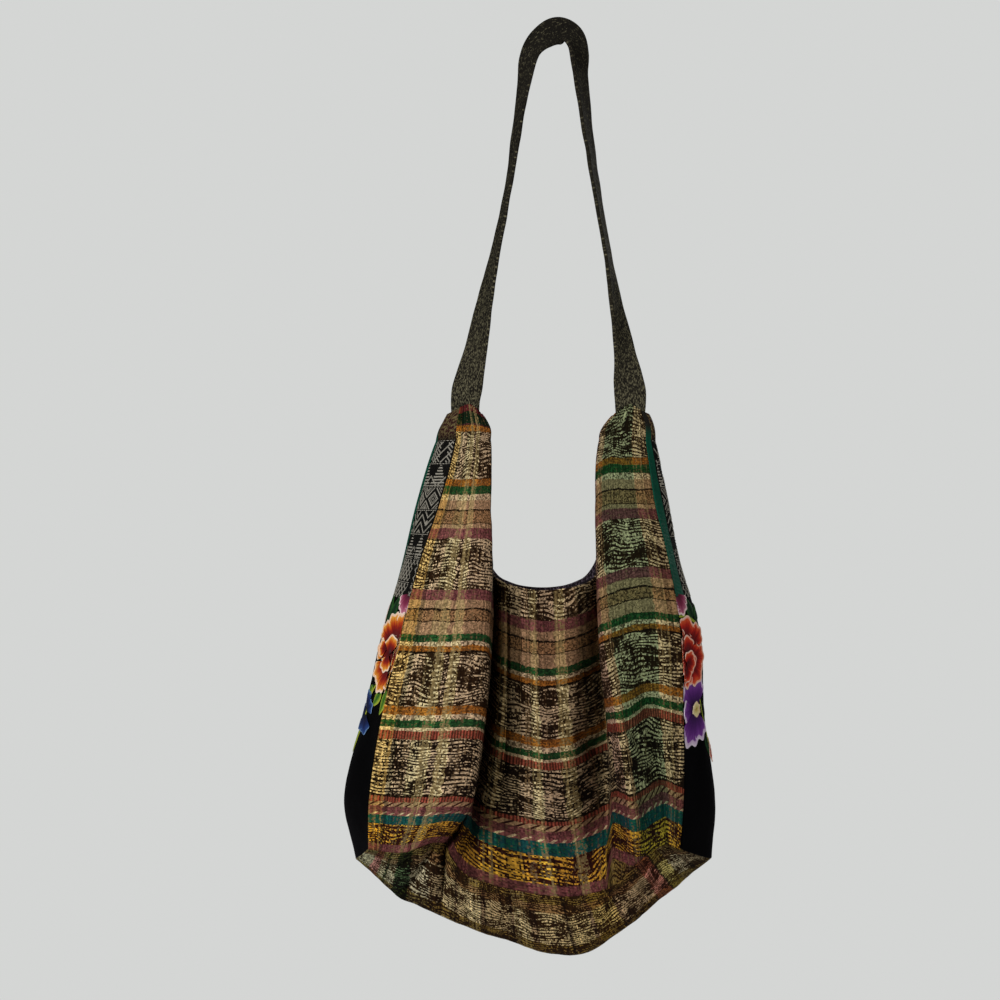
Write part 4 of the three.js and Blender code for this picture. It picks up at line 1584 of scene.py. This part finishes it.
def leaf(hoop, root, angle, length, half_width, shade):
    """Two halves of slanting threads on each side of a rib."""
    heading = math.radians(angle)
    bend = hoop.dice.uniform(*LEAF_BEND)

    def rib(share):
        return spoke(Vector(root), length * share, heading + bend * share)

    def half(side):
        def edge(share):
            ahead = min(share + LEAF_SLANT, 1.0)
            width = half_width * math.sin(math.pi * ahead**LEAF_FULLNESS) * side
            turned = heading + bend * ahead
            return rib(ahead) + width * Vector((math.cos(turned), math.sin(turned)))

        return edge

    for side in (-1, 1):
        threads = max(LEAST_LEAF_THREADS, int(length / THREAD_PITCH))
        hoop.satin(rib, half(side), threads, LEAF_ROWS, 0.0, shade)


def stem(hoop, spots, width, lift=0.0):
    """A narrow line of satin stitch along a smooth curve."""
    spots = [Vector((x, y, 0)) for x, y in spots]
    count = int(lengths(spots)[-1] / THREAD_PITCH)

    def edge(side):
        def point(share):
            near = share * (1 - STEM_STEP)
            here, there = smooth_point(spots, near), smooth_point(spots, near + STEM_STEP)
            heading = (there - here).normalized()
            return (here + side * width / 2 * Vector((-heading.y, heading.x, 0))).xy

        return point

    hoop.satin(edge(-1), edge(1), count, STEM_ROWS, lift, "stem")


print("a leaf has", LEAF_ROWS, "rows of cells in each half")

# %% Shapes of the flowers
# inner and outer are shares of the flower's radius, and overlap above 1 lets petals lie over each other.
Ring = namedtuple("Ring", "petals inner outer overlap")
HEART = [Ring(6, 0.05, 1.0, 1.1)]
CUSHION = [Ring(5, 0.02, 1.0, 1.3)]
SMALL = [Ring(6, 0.1, 1.0, 1.2), Ring(5, 0.05, 0.55, 1.1)]
# root in millimetres, angle in degrees, reach in millimetres and half of the spread in radians
Petal = namedtuple("Petal", "root angle reach spread")
ORANGE_ROSE = rows(
    Petal,
    ((7, 34), 40, 24, 0.60), ((5, 36), -14, 25, 0.62), ((13, 36), 62, 22, 0.50), ((1, 40), -70, 15, 0.70),
    ((8, 46), 84, 24, 0.46), ((7, 52), 122, 25, 0.44), ((0, 52), -150, 20, 0.50),
    ((4, 56), 152, 24, 0.40), ((-1, 57), 186, 19, 0.50), ((7, 46), 14, 15, 1.00),
    ((0, 46), -105, 13, 0.75), ((9, 46), 175, 15, 0.70), ((13, 42), 100, 12, 0.80),
)
RED_ROSE = rows(
    Petal,
    ((5, 34), 24, 20, 0.75), ((11, 38), 60, 22, 0.60), ((11, 48), 94, 21, 0.60), ((9, 52), 132, 22, 0.60),
    ((3, 52), 176, 19, 0.60), ((-1, 40), -20, 16, 0.70), ((0, 54), -150, 14, 0.60),
    ((5, 44), 2, 14, 0.95), ((6, 55), 20, 13, 1.00), ((2, 51), 100, 13, 0.85), ((0, 56), 150, 11, 0.80),
)
PANSY = rows(
    Petal,
    ((18, 90), 24, 25, 0.55), ((18, 90), -34, 27, 0.52), ((18, 90), -92, 19, 0.62),
    ((18, 90), 160, 27, 0.55), ((18, 90), 206, 32, 0.52),
)
BUD = rows(Petal, ((5, -5), 130, 14, 0.50), ((3, -4), 200, 13, 0.60), ((4, -4), 166, 17, 0.60))
NAVY = rows(
    Petal,
    ((32, 96), 20, 17, 0.60), ((32, 96), 100, 14, 0.60), ((32, 96), -60, 13, 0.60),
    ((30, 98), 200, 17, 0.55), ((32, 98), 150, 16, 0.55),
)
print("petals:", [len(rows) for rows in (ORANGE_ROSE, RED_ROSE, PANSY, BUD, NAVY)])

# %% Flowers of the left velvet
Leaf = namedtuple("Leaf", "root angle length half_width shade")
LEFT_LEAVES = rows(
    Leaf,
    ((28, 20), -38, 24, 6.0, "dark leaf"), ((32, 24), 12, 26, 7.0, "dark leaf"),
    ((52, 24), 40, 24, 5.5, "light leaf"), ((4, 74), 190, 22, 5.0, "light leaf"),
    ((12, 76), 150, 18, 5.0, "light leaf"), ((30, 74), 140, 16, 4.0, "light leaf"),
    ((56, 76), 130, 26, 6.0, "dark leaf"), ((42, 112), 160, 22, 4.5, "light leaf"),
    ((60, 100), 60, 18, 4.5, "light leaf"),
)
ROSE_RIM, PANSY_RIM = 0.9, 0.86  # roses and pansies have wider light edges

hoop = Hoop("left", seed=5)
stem(hoop, [(18, 66), (30, 82), (34, 100), (44, 128)], width=1.6)
stem(hoop, [(34, 100), (56, 110), (64, 96)], width=1.4)
for row in LEFT_LEAVES:
    leaf(hoop, *row)
petals(hoop, BUD, "mauve bud", "pink edge", lift=0.2, rim=ROSE_RIM)
flower(hoop, (66, 18), 12, 0, SMALL, "mauve bud", "pink edge", lift=0.2)
petals(hoop, NAVY, "blue flower", "sky edge", lift=0.3)
flower(hoop, (66, 92), 11, 30, SMALL, "red rose", "salmon edge", lift=0.3)
flower(hoop, (7, 45), 16, 0, CUSHION, "orange rose", "gold edge", lift=0.5)
petals(hoop, ORANGE_ROSE, "orange rose", "gold edge", lift=0.8, rim=ROSE_RIM)
hoop.finish()

# %% Flowers of the right velvet
RIGHT_LEAVES = rows(
    Leaf,
    ((22, 18), -10, 22, 6.0, "dark leaf"), ((26, 20), 45, 24, 5.5, "dark leaf"),
    ((44, 24), 30, 24, 5.5, "light leaf"), ((50, 60), 100, 22, 5.5, "light leaf"),
    ((44, 92), 120, 24, 5.5, "dark leaf"), ((34, 112), 165, 22, 4.5, "dark leaf"),
    ((46, 118), 150, 22, 4.5, "light leaf"),
)
hoop = Hoop("right", seed=8)
stem(hoop, [(2, 13), (14, 15), (30, 24)], width=2.4, lift=0.2)
stem(hoop, [(24, 70), (34, 100), (46, 124)], width=1.6)
for row in RIGHT_LEAVES:
    leaf(hoop, *row)
petals(hoop, BUD, "mauve bud", "pink edge", lift=0.2, rim=ROSE_RIM)
flower(hoop, (62, 30), 12, 0, SMALL, "blue flower", "sky edge", lift=0.2)
flower(hoop, (50, 128), 10, 15, SMALL, "red rose", "salmon edge", lift=0.3)
petals(hoop, PANSY, "pansy", "lilac edge", lift=0.4, rim=PANSY_RIM)
flower(hoop, (18, 90), 6, 0, HEART, "yellow heart", "gold edge", lift=1.8)
flower(hoop, (9, 46), 17, 0, CUSHION, "red rose", "salmon edge", lift=0.7)
petals(hoop, RED_ROSE, "red rose", "salmon edge", lift=1.0, rim=ROSE_RIM)
hoop.finish()
